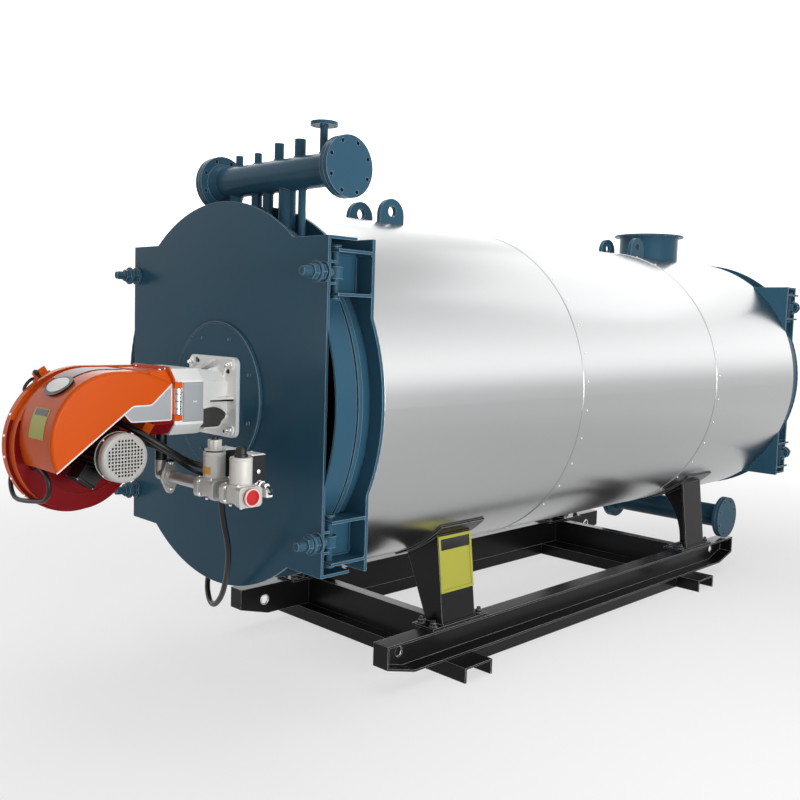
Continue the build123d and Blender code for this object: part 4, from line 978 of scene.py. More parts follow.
@dataclass
class Cables:
    """The four black conduits."""

    routes: tuple[CableRoute, ...] = (
        CableRoute("upper_valve_cable", 0.028, 0.643, "loose", (
            (-0.082, 0.548, -0.072), (-0.020, 0.548, -0.072), (0.085, 0.520, -0.086),
            (0.173, 0.470, -0.128), (0.208, 0.390, -0.184), (0.214, 0.310, -0.236),
            (0.219, 0.268, -0.257), (0.240, 0.232, -0.268), (0.275, 0.2147, -0.272),
            (0.315, 0.2147, -0.272),
        )),
        CableRoute("lower_valve_cable", 0.018, 0.585, "loose", (
            (-0.082, 0.500, -0.112), (-0.025, 0.500, -0.112), (0.035, 0.462, -0.158),
            (0.085, 0.408, -0.182), (0.125, 0.352, -0.203), (0.158, 0.300, -0.247),
            (0.170, 0.252, -0.288), (0.203, 0.222, -0.307), (0.250, 0.2147, -0.312),
            (0.315, 0.2147, -0.312),
        )),
        CableRoute("hanging_cable", 0.025, 1.035, "hanging", (
            (0.356, 0.2147, -0.350), (0.356, 0.2147, -0.415), (0.345, 0.193, -0.500),
            (0.322, 0.155, -0.597), (0.277, 0.121, -0.683), (0.208, 0.084, -0.775),
            (0.130, 0.046, -0.868), (0.050, 0.018, -0.935), (-0.015, 0.000, -0.968),
            (-0.078, -0.020, -0.958), (-0.122, -0.038, -0.912), (-0.145, -0.060, -0.860),
            (-0.145, -0.060, -0.806),
        )),
        CableRoute("loop_cable", 0.019, 0.589, "loose", (
            (-0.082, 0.790, -0.265), (-0.035, 0.790, -0.265), (0.004, 0.779, -0.303),
            (0.004, 0.774, -0.358), (-0.035, 0.778, -0.397), (-0.090, 0.785, -0.405),
            (-0.160, 0.801, -0.412), (-0.234, 0.812, -0.413), (-0.273, 0.813, -0.374),
            (-0.273, 0.812, -0.320), (-0.234, 0.812, -0.281), (-0.207, 0.812, -0.281),
        )),
    )

    def build(self) -> None:
        """Makes the conduits."""
        for route in self.routes:
            route.build()


class Paintwork:
    """Finishes of the solids that stay as they are."""

    def build(self) -> None:
        """Paints the solids."""
        for end in ENDS:
            paint(BOILER_BLUE, f"{end}_collar_plate", f"{end}_door", f"{end}_door_drum",
                  f"{end}_hinge_brackets", f"{end}_lifting_lugs")
            paint(SKID_BLACK, f"{end}_foot", f"{end}_crossbeam", f"{end}_left_saddle",
                  f"{end}_right_saddle")
        paint(SKID_BLACK, "left_rail", "right_rail", "left_runner", "right_runner")
        paint(BOILER_BLUE, "pressure_shell", "hinge_pins", "swing_bolts", "clamp_nuts",
              "upper_header", "upper_header_blinds", "header_legs", "header_stubs", "flanged_riser",
              "flue_outlet", "lower_header", "lower_header_blinds", "burner_mounting_disc")
        paint(CLADDING_STEEL, "cladding_front", "cladding_middle", "cladding_rear")
        paint(CAST_ALUMINIUM, "burner_flange")
        paint(VALVE_METAL, "gas_valves")
        paint(PIPE_METAL, "gas_pipe")
        paint(COVER_WHITE, "gas_solenoids")
        paint(PANEL_GREY, "burner_box", "burner_lower_panel")
        paint(BRIGHT_ZINC, "burner_hinge")
        paint(SCROLL_PAINT_AND_SHADE, "fan_housing")
        paint(BURNER_ORANGE, "burner_cover")
        paint(MOTOR_BLACK, "fan_motor")
        paint(COVER_WITH_GROOVE_SHADE, "motor_fan_cover")
        paint(BLACK_PLASTIC_AND_SHADE, "gas_switch_box", "cable_glands", "drum_gland")
        paint(RED_PLASTIC, "gas_outlet_plug")


@dataclass
class CladdingTrim:
    """Screws and rolled edges of the cladding sheets."""

    screw_size: tuple[float, float] = (0.011, 0.0045)
    seam_screws: int = 36
    seam_offset: float = 0.028
    ridge_pitch: float = 0.16
    ridge_sink: float = 0.0004
    lip: float = 0.0045

    def build(self) -> None:
        """Sets the screws of each seam and along the top, and rolls a bead round each end, paler than
        the sheet as a painted highlight.
        """
        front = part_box("cladding_front")[0].y
        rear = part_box("cladding_rear")[1].y
        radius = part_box("cladding_rear")[1].x
        for sheet in ("front", "middle"):
            seam = (0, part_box(f"cladding_{sheet}")[1].y + self.seam_offset, AXIS_Z)
            circle = ring_places(seam, Facing.BACK, radius, self.seam_screws, pi / self.seam_screws)
            spread(f"{sheet}_seam_screws", screw("seam_screw", *self.screw_size),
                   [spot @ turn(pi / 2, "Y") for spot in circle], BRIGHT_ZINC)
        flue_low, flue_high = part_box("flue_outlet")
        steps = range(1, int((rear - front) / self.ridge_pitch))
        ridge = [front + step * self.ridge_pitch for step in steps]
        places = [place((0, y, AXIS_Z + radius - self.ridge_sink)) for y in ridge
                  if not flue_low.y < y < flue_high.y]
        spread("ridge_screws", screw("ridge_screw", *self.screw_size), places, BRIGHT_ZINC)
        for end, y in zip(ENDS, (front, rear)):
            # Each end's bead is paler than the sheet: a painted highlight.
            bead = ring(f"{end}_cladding_bead", radius - self.lip, self.lip, 160, stretch=1.3)
            dress(put(bead, place((0, y, AXIS_Z), Facing.FRONT)), ROLLED_EDGE_HIGHLIGHT)


@dataclass
class DoorCorners:
    """Welds, pin heads, spare nuts and threaded ends at the eight corners of the doors."""

    weld: float = 0.0045
    weld_sink: float = 0.0018
    pin_radius: float = 0.015
    pin_cap: tuple[float, ...] = (0.023, 0.008, 0.002)
    nut_flats: float = 0.055
    nut_height: float = 0.022
    nut_turn: float = 0.3
    washer: tuple[float, ...] = (0.0425, 0.008, 0.002)
    stud_radius: float = 0.018
    stud_chamfer: float = 0.004
    thread_rings: int = 9
    thread_margin: float = 0.006
    hinge_inset: float = 0.022
    hinge_height: float = 0.5351
    web_inset: float = 0.053
    web_plate: float = 0.010
    lug_inner: float = 0.079
    lug_overhang: float = 0.054
    bracket_reach: float = 0.178

    def pins(self) -> list[Vector]:
        """Gives the middle of each corner's hinge pin.

        Returns:
            The eight points.
        """
        low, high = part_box("hinge_pins")
        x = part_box("front_door")[1].x - self.hinge_inset
        return [Vector((side * x, y, AXIS_Z + level * self.hinge_height))
                for y in (low.y + self.pin_radius, high.y - self.pin_radius)
                for side, level in CORNERS]

    def on_nuts(self, spin: float = 0.0) -> list[Matrix]:
        """Gives the place on top of each corner's clamp nut.

        Args:
            spin: Turn about the bolt, in radians.

        Returns:
            The eight matrices, facing out of the boiler.
        """
        low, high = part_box("clamp_nuts")
        return [place((pin.x, low.y, pin.z), Facing.FRONT, spin) if pin.y < 0
                else place((pin.x, high.y, pin.z), Facing.BACK, spin) for pin in self.pins()]

    def build(self) -> None:
        """Makes the pins' caps, the threads beyond the nuts, the second nuts and the welds."""
        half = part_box("hinge_pins")[1].z - AXIS_Z - self.hinge_height
        caps = [place(pin + Vector((0, 0, way * half)), facing) for pin in self.pins()
                for way, facing in ((1, Facing.UP), (-1, Facing.DOWN))]
        cap = sink_top(disc("pin_cap", *self.pin_cap, 24), 0.006, 0.0015)
        spread("hinge_pin_caps", cap, caps, BOILER_BLUE)
        self.build_threads()
        parts = [disc("spare_washer", *self.washer),
                 hexagon("spare_nut", self.nut_flats, self.nut_height, self.washer[1])]
        spread("spare_clamp_nuts", join("spare_nut", parts), self.on_nuts(self.nut_turn), BOILER_BLUE)
        self.build_bracket_welds()
        for end, way, facing in (("front", 0, Facing.BACK), ("rear", 1, Facing.FRONT)):
            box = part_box(f"{end}_door_drum")
            seat = place((0, box[way].y, AXIS_Z), facing)
            dress(ring_weld(f"{end}_drum_weld", box[1].x, self.weld, seat), BOILER_BLUE, WELD_SMOOTH)

    def build_threads(self) -> None:
        """Cuts a thread into view: fine rings round each swing bolt beyond its nut."""
        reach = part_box("clamp_nuts")[0].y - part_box("swing_bolts")[0].y
        pitch = (reach - 2 * self.thread_margin) / self.thread_rings
        thread = []
        for index in range(self.thread_rings):
            turn_ring = ring("thread", self.stud_radius, pitch * 0.32, 24, 5)
            thread.append(put(turn_ring, move(0, 0, self.thread_margin + index * pitch)))
        bpy.ops.mesh.primitive_cone_add(
            vertices=24, radius1=self.stud_radius, radius2=self.stud_radius - self.stud_chamfer,
            depth=self.stud_chamfer, location=(0, 0, reach - 0.0015),
        )
        tip = sink_top(settle(bpy.context.active_object), 0.004, 0.001)
        spread("swing_bolt_threads", join("stud_end", [*thread, tip]), self.on_nuts(), THREAD_BLUE)

    def build_bracket_welds(self) -> None:
        """Lays the welds of the hinge brackets: webs to collar plates, and lugs to webs."""
        faces = ((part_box("front_collar_plate")[0].y, -1), (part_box("rear_collar_plate")[1].y, 1))
        web_x = self.pins()[-1].x - self.web_inset + self.web_plate
        upright = []
        along = []
        across = []
        for side, level in CORNERS:
            for y, out in faces:
                root = move(side * web_x, y, AXIS_Z + level * self.hinge_height)
                aside = side * self.weld_sink
                proud = out * self.weld_sink
                upright.append(root @ move(aside, proud, -self.lug_inner) @ turn(-pi / 2, "Y"))
                for lug in SIGNS:
                    z = lug * (self.lug_inner - self.weld_sink)
                    along.append(root @ move(aside, 0, z) @ turn(out * pi / 2, "Z"))
                    across.append(root @ move(0, proud, z) @ turn(0 if side > 0 else pi, "Z"))
        runs = (
            ("web_collar_welds", 2 * self.lug_inner, upright),
            ("web_lug_welds", self.bracket_reach, along),
            ("lug_collar_welds", self.web_inset + self.lug_overhang - self.web_plate, across),
        )
        for name, length, places in runs:
            spread(name, line_weld(name, length, self.weld), places, BOILER_BLUE, WELD_SMOOTH)


@dataclass
class PipeWelds:
    """Weld beads round the pipes, legs, stubs and the flue, by each one's X and diameter."""

    bead: float = 0.0038
    legs: Outline = (
        (-0.118, 0.0603), (0.042, 0.0483), (0.126, 0.0483), (0.262, 0.0761), (0.364, 0.0337),
    )
    stubs: Outline = (
        (-0.094, 0.0337), (0.048, 0.0337), (0.200, 0.0424), (0.345, 0.0483), (0.498, 0.0337),
    )
    nozzles: Outline = ((0.020, 0.0889), (0.245, 0.0889))
    shell_flange: float = 0.020
    header_radius: float = 0.06985
    lower_radius: float = 0.0795
    neck_length: float = 0.034
    flange: float = 0.022
    flue_radius: float = 0.203
    flue_flange: float = 0.012
    riser_flange: float = 0.016

    def build(self) -> None:
        """Lays the welds."""
        self.build_upper()
        self.build_lower()
        self.build_flanges()

    def necks(self, node: str, radius: float, inward: float) -> list[Object]:
        """Lays the welds of a header's two flange necks.

        Args:
            node: Solid whose box ends at the header's flanges.
            radius: Header pipe's radius.
            inward: Distance of the welds from the box's ends.

        Returns:
            The two beads.
        """
        low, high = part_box(node)
        middle = middle_of(node)
        return [ring_weld("neck_weld", radius, self.bead, place((x, *middle.yz), Facing.RIGHT))
                for x in (low.x + inward, high.x - inward)]

    def build_upper(self) -> None:
        """Lays the upper header's welds: its legs', its stubs' and its flange necks'."""
        header = middle_of("upper_header")
        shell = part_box("pressure_shell")[1].x - self.shell_flange
        beads = []
        for x, size in self.legs:
            seat = place((x, *header.yz))
            under = ring_weld("leg_weld", size / 2, self.bead, seat, lambda spot: -self.over(spot))
            foot = ring_weld("leg_foot_weld", size / 2, self.bead, place((x, header.y, AXIS_Z)),
                             lambda spot, at_x=x: sqrt(shell**2 - (at_x + spot.x) ** 2))
            beads += [under, foot]
        for x, size in self.stubs:
            seat = place((x, *header.yz))
            beads.append(ring_weld("stub_weld", size / 2, self.bead, seat, self.over))
        beads += self.necks("upper_header", self.header_radius, self.flange + self.neck_length)
        dress(join("upper_header_welds", beads), BOILER_BLUE, WELD_SMOOTH)

    def over(self, spot: Vector) -> float:
        """Gives the upper header pipe's height over its axis beside a point of its length."""
        return sqrt(max(self.header_radius**2 - spot.y**2, 0.0))

    def build_lower(self) -> None:
        """Lays the lower header's welds: its flange necks' and its two nozzles'."""
        node = "lower_header_blinds"
        beads = self.necks(node, self.lower_radius, 2 * self.flange + self.neck_length)
        for x, size in self.nozzles:
            beads.append(ring_weld("nozzle_weld", size / 2, self.bead, place((x, *middle_of(node).yz)),
                                   lambda spot: sqrt(self.lower_radius**2 - spot.y**2)))
        dress(join("lower_header_welds", beads), BOILER_BLUE, WELD_SMOOTH)

    def build_flanges(self) -> None:
        """Lays the welds under the flue's and the riser's flanges."""
        x, y, _ = middle_of("flue_outlet")
        under = ring_weld("flue_flange_weld", self.flue_radius, self.bead,
                          place((x, y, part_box("flue_outlet")[1].z - self.flue_flange)))
        x, size = self.stubs[-1]
        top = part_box("flanged_riser")[1].z - self.riser_flange
        collar = ring_weld("riser_flange_weld", size / 2, self.bead * 0.8,
                           place((x, middle_of("flanged_riser").y, top)))
        dress(join("flue_and_riser_welds", [under, collar]), BOILER_BLUE, WELD_SMOOTH)


@dataclass
class SkidFittings:
    """Bolts of the saddles' base plates, welds, the rails' rings and the leg's framed plate."""

    stud: tuple[float, ...] = (0.020, 0.030, 0.042, 0.014)
    stud_turn: float = 0.4
    end_margin: float = 0.032
    side_margin: float = 0.030
    base_width: float = 0.142
    base_thickness: float = 0.012
    leg_width: float = 0.240
    leg_splay: float = 0.053
    leg_inset: float = 0.0145
    foot_weld: float = 0.005
    beam_weld: float = 0.004
    beam_weld_margin: float = 0.01
    plate_top: float = 0.014
    plate_size: tuple[float, float, float] = (0.224, 0.262, 0.003)
    frame_width: float = 0.014
    frame_depth: float = 0.007
    head_drop: float = 0.009
    head_size: tuple[float, float, float] = (0.208, 0.054, 0.0012)
    rail_hole_inset: float = 0.158
    rail_ring: tuple[float, float] = (0.0265, 0.0035)

    def build(self) -> None:
        """Makes the fittings."""
        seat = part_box("left_rail")[1].z + self.base_thickness
        studs = []
        feet = []
        for sign, outer, low, high in self.saddles():
            inner = outer - self.base_width
            studs += [place((sign * x, y, seat), Facing.UP, self.stud_turn)
                      for y in (low + self.end_margin, high - self.end_margin)
                      for x in (outer - self.side_margin, inner + self.side_margin)]
            start = ((low + high) / 2 - self.leg_width / 2, seat + 0.0015)
            feet.append(move(sign * (outer - self.leg_inset), *start) @ turn(pi / 2, "Z"))
        spread("base_plate_bolts", bolt("base_stud", *self.stud), studs, SKID_BLACK)
        self.build_leg_plate()
        self.build_beam_welds()
        bead = line_weld("leg_foot_bead", self.leg_width, self.foot_weld)
        spread("saddle_foot_welds", bead, feet, SKID_BLACK, WELD_SMOOTH)
        self.build_rail_rings()

    def saddles(self) -> Iterator[tuple[int, float, float, float]]:
        """Gives each saddle's side, its base plate's outer edge and its two ends in Y.

        Yields:
            -1 for left or 1 for right, the outer edge's distance from the middle, and the two ends.
        """
        for end in ENDS:
            for side, sign in (("left", -1), ("right", 1)):
                low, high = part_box(f"{end}_{side}_saddle")
                floor = low.z + self.base_thickness + 0.001
                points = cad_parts[f"{end}_{side}_saddle"].data.vertices
                outer = max(sign * point.co.x for point in points if point.co.z < floor)
                yield sign, outer, low.y, high.y

    def leg_place(self) -> Matrix:
        """Gives the place on the front right leg's outer face, with the leg's top as origin.

        Returns:
            The matrix whose Z axis points out of the leg and whose Y axis points up it.
        """
        name = "front_right_saddle"
        foot_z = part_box(name)[0].z + self.base_thickness
        middle_y = middle_of(name).y
        points = [point.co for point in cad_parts[name].data.vertices]
        near = [point for point in points
                if abs(abs(point.y - middle_y) - self.leg_width / 2) < 0.002]
        foot_x = max(point.x for point in near if abs(point.z - foot_z) < 0.002)
        head = max((point for point in near if point.x > foot_x - self.leg_splay - 0.004),
                   key=lambda point: point.z)
        lean = atan2(foot_x - head.x, head.z - foot_z)
        outward = Euler((pi / 2, 0, pi / 2)).to_matrix().to_4x4()
        return move(head.x, middle_y, head.z) @ turn(-lean, "Y") @ outward

    def build_leg_plate(self) -> None:
        """Hangs the bare yellow plate in its raised frame on the front right leg."""
        seat = self.leg_place()
        width, height, thickness = self.plate_size
        middle_y = -self.plate_top - height / 2
        plate = block("leg_plate", self.plate_size, 0.0008)
        dress(put(plate, seat @ move(0, middle_y, 0)), YELLOW_PLATE)
        head = block("leg_plate_head", self.head_size, 0.0003, thickness)
        head_y = -self.plate_top - self.head_drop - self.head_size[1] / 2
        dress(put(head, seat @ move(0, head_y, 0)), BLACK_PLASTIC_AND_SHADE)
        upright = (self.frame_width, height + self.frame_width, self.frame_depth)
        level = (width - self.frame_width, self.frame_width, self.frame_depth)
        bars = []
        for side in SIGNS:
            bars.append(put(block("frame_bar", upright, 0.0015), move(side * width / 2, middle_y, 0)))
            bars.append(put(block("frame_rail", level, 0.0015),
                            move(0, middle_y + side * height / 2, 0)))
        dress(put(join("leg_plate_frame", bars), seat), YELLOW_PLATE)

    def build_beam_welds(self) -> None:
        """Lays the welds of the crossbeams' ends against the rails' webs."""
        places = []
        for end in ENDS:
            low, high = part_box(f"{end}_crossbeam")
            places += [move(sign * (high.x - 0.003), y, low.z + self.beam_weld_margin)
                       @ turn(-pi / 2, "Y") for sign in SIGNS for y in (low.y, high.y)]
        low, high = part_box("front_crossbeam")
        bead = line_weld("beam_weld", high.z - low.z - 2 * self.beam_weld_margin, self.beam_weld)
        spread("crossbeam_welds", bead, places, SKID_BLACK, WELD_SMOOTH)

    def build_rail_rings(self) -> None:
        """Sets a bright ring in each hole of the rails' webs."""
        places = []
        for side, web, facing in (("left", 1, Facing.RIGHT), ("right", 0, Facing.LEFT)):
            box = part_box(f"{side}_rail")
            places += [place((box[web].x, y, middle_of(f"{side}_rail").z), facing)
                       for y in (box[0].y + self.rail_hole_inset, box[1].y - self.rail_hole_inset)]
        inlay = ring("hole_ring", *self.rail_ring, 32, stretch=0.6)
        spread("rail_hole_rings", inlay, places, BRIGHT_ZINC)


@dataclass
class BurnerHead:
    """Bolts, recess, ribs, joint flange and connectors on the burner's casting and throat."""

    disc_bolt_circle: float = 0.272
    disc_bolts: int = 8
    disc_bolt: tuple[float, float] = (0.022, 0.009)
    disc_rim: float = 0.006
    plate_face: float = 0.030
    boss_height: float = 0.008
    bosses: tuple[float, float] = (0.151, 0.141)
    boss_turn: float = 0.2
    plate_bolt: tuple[float, ...] = (0.014, 0.022, 0.030, 0.010)
    plate_screw: tuple[float, ...] = (0.008, 0.013, 0.018)
    plate_screws: Outline = ((0.112, 0.133), (0.124, 0.112), (-0.112, 0.150), (-0.125, 0.112))
    neck_foot: float = 0.114
    neck_length: float = 0.165
    neck_taper: float = 0.066
    side_screws: tuple[float, float] = (0.243, 0.232)
    side_screw_height: float = -0.004
    side_screw: tuple[float, float] = (0.009, 0.004)
    casing_top: Spot = (0.118, 0.360, 0.1245)
    casing_side: Spot = (0.174, 0.350, 0.052)
    casing_screw: tuple[float, float] = (0.013, 0.006)
    joint_setback: float = 0.329
    joint_plate: float = 0.008
    joint_screws: tuple[float, float] = (0.117, 0.129)
    joint_screw: tuple[float, float] = (0.010, 0.004)
    joint_outline: Outline = (
        (-0.186, 0.060), (0.186, 0.060), (0.186, 0.088), (0.140, 0.139), (-0.140, 0.139),
        (-0.186, 0.088),
    )
    arch_depth: float = 0.030
    arch_rise: float = 0.0015
    rim_wire: float = 0.006
    lip_wire: float = 0.007
    rim_lift: float = 0.002
    arch: Outline = (
        (-0.172, -0.037), (-0.172, -0.117), (-0.056, -0.122), (-0.038, -0.100), (-0.006, -0.084),
        (-0.008, -0.068), (-0.039, -0.051), (-0.068, -0.041), (-0.098, -0.035), (-0.130, -0.035),
    )
    arch_rim: Outline = (
        (-0.171, -0.036), (-0.130, -0.031), (-0.098, -0.030), (-0.068, -0.036), (-0.039, -0.047),
        (-0.008, -0.064), (-0.002, -0.076),
    )
    lower_lip: Outline = (
        (-0.170, -0.121), (-0.110, -0.124), (-0.056, -0.127), (-0.036, -0.103), (-0.008, -0.088),
    )
    # Black strip under the neck's rib: painted shadow.
    rib_shadow_size: Spot = (0.112, 0.052, 0.007)
    rib_shadow_seat: float = -0.0125
    rib_shadow_spot: Spot = (0.1405, 0.087, 0.0)
    rib_shadow_lean: float = 0.045
    ribs:tuple[tuple[float, ...], ...] = (
        (-0.027, 0.130, 0.126, 29.0, 0.022), (0.104, 0.098, 0.078, 59.0, 0.014),
        (-0.128, 0.020, 0.150, 90.0, 0.012), (0.104, -0.060, 0.070, 118.0, 0.012),
    )
    rib_width: float = 0.008
    ear: tuple[float, ...] = (0.028, 0.007, 0.002)
    ear_spot: tuple[float, float] = (0.106, -0.147)
    ear_wall: tuple[Spot, ...] = (
        (0.092, 0.033, -0.100), (0.104, 0.035, -0.122), (0.122, 0.034, -0.138),
        (0.132, 0.033, -0.160), (0.120, 0.032, -0.172), (0.100, 0.031, -0.172),
    )
    # The dark discs for these holes are painted shade.
    holes: tuple[Spot, ...] = ((0.106, 0.037, -0.150), (0.128, 0.030, 0.126), (-0.124, 0.030, 0.158))
    hole: tuple[float, ...] = (0.0075, 0.0012, 0.0004)
    hinge_axis: float = 0.011
    hinge_joints: Spot = (0.22, 0.5, 0.78)
    hinge_gap: tuple[float, ...] = (0.0117, 0.003, 0.0006)
    hinge_lug: float = 0.024
    hinge_head: tuple[float, float] = (0.016, 0.005)
    connector_size: Spot = (0.060, 0.070, 0.045)
    connector_spot: Spot = (0.075, 0.405, -0.139)
    connector_rib: Spot = (0.064, 0.006, 0.049)
    connector_ribs: int = 4
    connector_pitch: float = 0.016

    def build(self) -> None:
        """Makes the head's details."""
        self.build_disc()
        self.build_plate_bolts()
        self.build_recess()
        self.build_ribs()
        self.build_cover_screws()
        self.build_hinge()
        self.build_connectors()

    def build_disc(self) -> None:
        """Sets the round-headed bolts of the mounting disc and its raised rim."""
        low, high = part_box("burner_mounting_disc")
        centre = (0, low.y, AXIS_Z)
        places = ring_places(centre, Facing.FRONT, self.disc_bolt_circle, self.disc_bolts,
                             pi / self.disc_bolts)
        spread("mounting_disc_bolts", screw("disc_bolt", *self.disc_bolt), places, BOILER_BLUE)
        rim = ring("mounting_disc_rim", high.x - self.disc_rim, self.disc_rim, 128, stretch=0.5)
        dress(put(rim, place(centre, Facing.FRONT)), BOILER_BLUE)

    def build_plate_bolts(self) -> None:
        """Sets the four corner bolts of the cast plate and the small ones beside them."""
        x, z = self.bosses
        face = self.plate_face + self.boss_height
        corners = [place(at(side * x, face, level * z), Facing.FRONT, side * self.boss_turn)
                   for side, level in CORNERS]
        spread("cast_plate_bolts", bolt("plate_bolt", *self.plate_bolt), corners, BRIGHT_ZINC)
        places = [place(at(x, self.plate_face, z), Facing.FRONT) for x, z in self.plate_screws]
        spread("cast_plate_screws", bolt("plate_screw", *self.plate_screw), places, BLACK_PLASTIC_AND_SHADE)

    def on_neck(self) -> Matrix:
        """Gives the near side of the casting's neck.

        Returns:
            The matrix whose X axis runs along the neck, towards the plate, and Z axis out of it.
        """
        lean = atan2(self.neck_taper, self.neck_length)
        along = Vector((-sin(lean), cos(lean), 0))
        up = Vector((0, 0, 1))
        axes = Matrix((along, up, along.cross(up))).transposed().to_4x4()
        return move(*at(self.neck_foot, self.plate_face, 0)) @ axes

    def build_recess(self) -> None:
        """Makes the arched opening on the near side of the neck as a dark plate of painted shade, its
        rim, its lip and a strip of painted shadow under the rib.
        """
        seat = self.on_neck()
        # A dark plate a little proud of the neck is painted shade for the opening.
        opening = outline_plate("neck_opening_shade", self.arch, self.arch_depth, 0.0004)
        dress(put(opening, seat @ move(0, 0, self.arch_rise - self.arch_depth)), SHADOW_METAL)
        for name, line, wire in (("neck_arch_rim", self.arch_rim, self.rim_wire),
                                 ("neck_lower_lip", self.lower_lip, self.lip_wire)):
            route = [seat @ Vector((*spot, self.rim_lift)) for spot in line]
            dress(tube(name, route, wire), TRIM_AND_HIGHLIGHT_WHITE)
        # The black strip under the rib is painted shadow.
        rib_shadow = block("neck_rib_shadow", self.rib_shadow_size, 0.0015, self.rib_shadow_seat)
        upright = turn(pi / 2 - self.rib_shadow_lean, "Z")
        dress(put(rib_shadow, move(*at(*self.rib_shadow_spot)) @ upright), BLACK_RUBBER_AND_SHADOW)

    def build_ribs(self) -> None:
        """Makes the slanting ribs, the ear and dark discs of painted shade for the holes on the cast
        plate's face.
        """
        parts = []
        for x, z, length, tilt, rise in self.ribs:
            seat = place(at(x, self.plate_face, z), Facing.FRONT, radians(tilt))
            parts.append(put(block("plate_rib", (length, self.rib_width, rise), 0.0015), seat))
        x, z = self.ear_spot
        ear = disc("plate_ear", *self.ear)
        parts.append(put(ear, place(at(x, self.plate_face, z), Facing.FRONT)))
        dress(join("cast_plate_ribs", parts), CAST_ALUMINIUM)
        wall = [at(*spot) for spot in self.ear_wall]
        dress(tube("plate_ear_wall", wall, self.lip_wire), TRIM_AND_HIGHLIGHT_WHITE)
        # Black discs stand for the holes: painted shade.
        holes = [place(at(*spot), Facing.FRONT) for spot in self.holes]
        spread("cast_plate_hole_shades", disc("cast_hole_shade", *self.hole, 20), holes, BLACK_PLASTIC_AND_SHADE)

    def build_cover_screws(self) -> None:
        """Sets the side cover's and the casing's screws, and the throat's joint flange."""
        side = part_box("burner_box")[1].x
        places = [place(at(side, setback, self.side_screw_height), Facing.RIGHT)
                  for setback in self.side_screws]
        spread("side_cover_screws", screw("cover_screw", *self.side_screw), places, BRIGHT_ZINC)
        places = [place(at(*self.casing_top)), place(at(*self.casing_side), Facing.RIGHT)]
        spread("casing_screws", screw("casing_screw", *self.casing_screw), places, BRIGHT_ZINC)
        flange = outline_plate("joint_flange", self.joint_outline, self.joint_plate, 0.0015)
        dress(put(flange, place(at(0, self.joint_setback, 0), Facing.FRONT)), BURNER_ORANGE)
        face = self.joint_setback + self.joint_plate
        x, height = self.joint_screws
        places = [place(at(way * x, face, height), Facing.FRONT) for way in SIGNS]
        spread("joint_flange_screws", screw("joint_screw", *self.joint_screw), places, BRIGHT_ZINC)

    def build_hinge(self) -> None:
        """Sets the hinge's two pin heads and its knuckles' dark joints."""
        low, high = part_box("burner_hinge")
        x = (low.x + high.x) / 2
        y = low.y + self.hinge_axis
        foot = low.z - self.hinge_gap[1] / 2
        joints = [place((x, y, foot + (high.z - low.z) * share)) for share in self.hinge_joints]
        spread("hinge_joints", disc("hinge_gap", *self.hinge_gap, 24), joints, BLACK_PLASTIC_AND_SHADE)
        caps = [place((x, y, high.z + self.hinge_lug)),
                place((x, y, low.z - self.hinge_lug), Facing.DOWN)]
        spread("hinge_pin_heads", screw("hinge_head", *self.hinge_head), caps, BRIGHT_ZINC)

    def build_connectors(self) -> None:
        """Makes the ribbed black connector block under the throat."""
        parts = [block("connector_body", self.connector_size, 0.004)]
        middle = (self.connector_ribs - 1) / 2
        for index in range(self.connector_ribs):
            rib = block("connector_rib", self.connector_rib, 0.0015, -0.002)
            parts.append(put(rib, move(0, (index - middle) * self.connector_pitch, 0)))
        seat = place(at(*self.connector_spot), Facing.DOWN)
        dress(put(join("throat_connector", parts), seat), BLACK_PLASTIC_AND_SHADE)


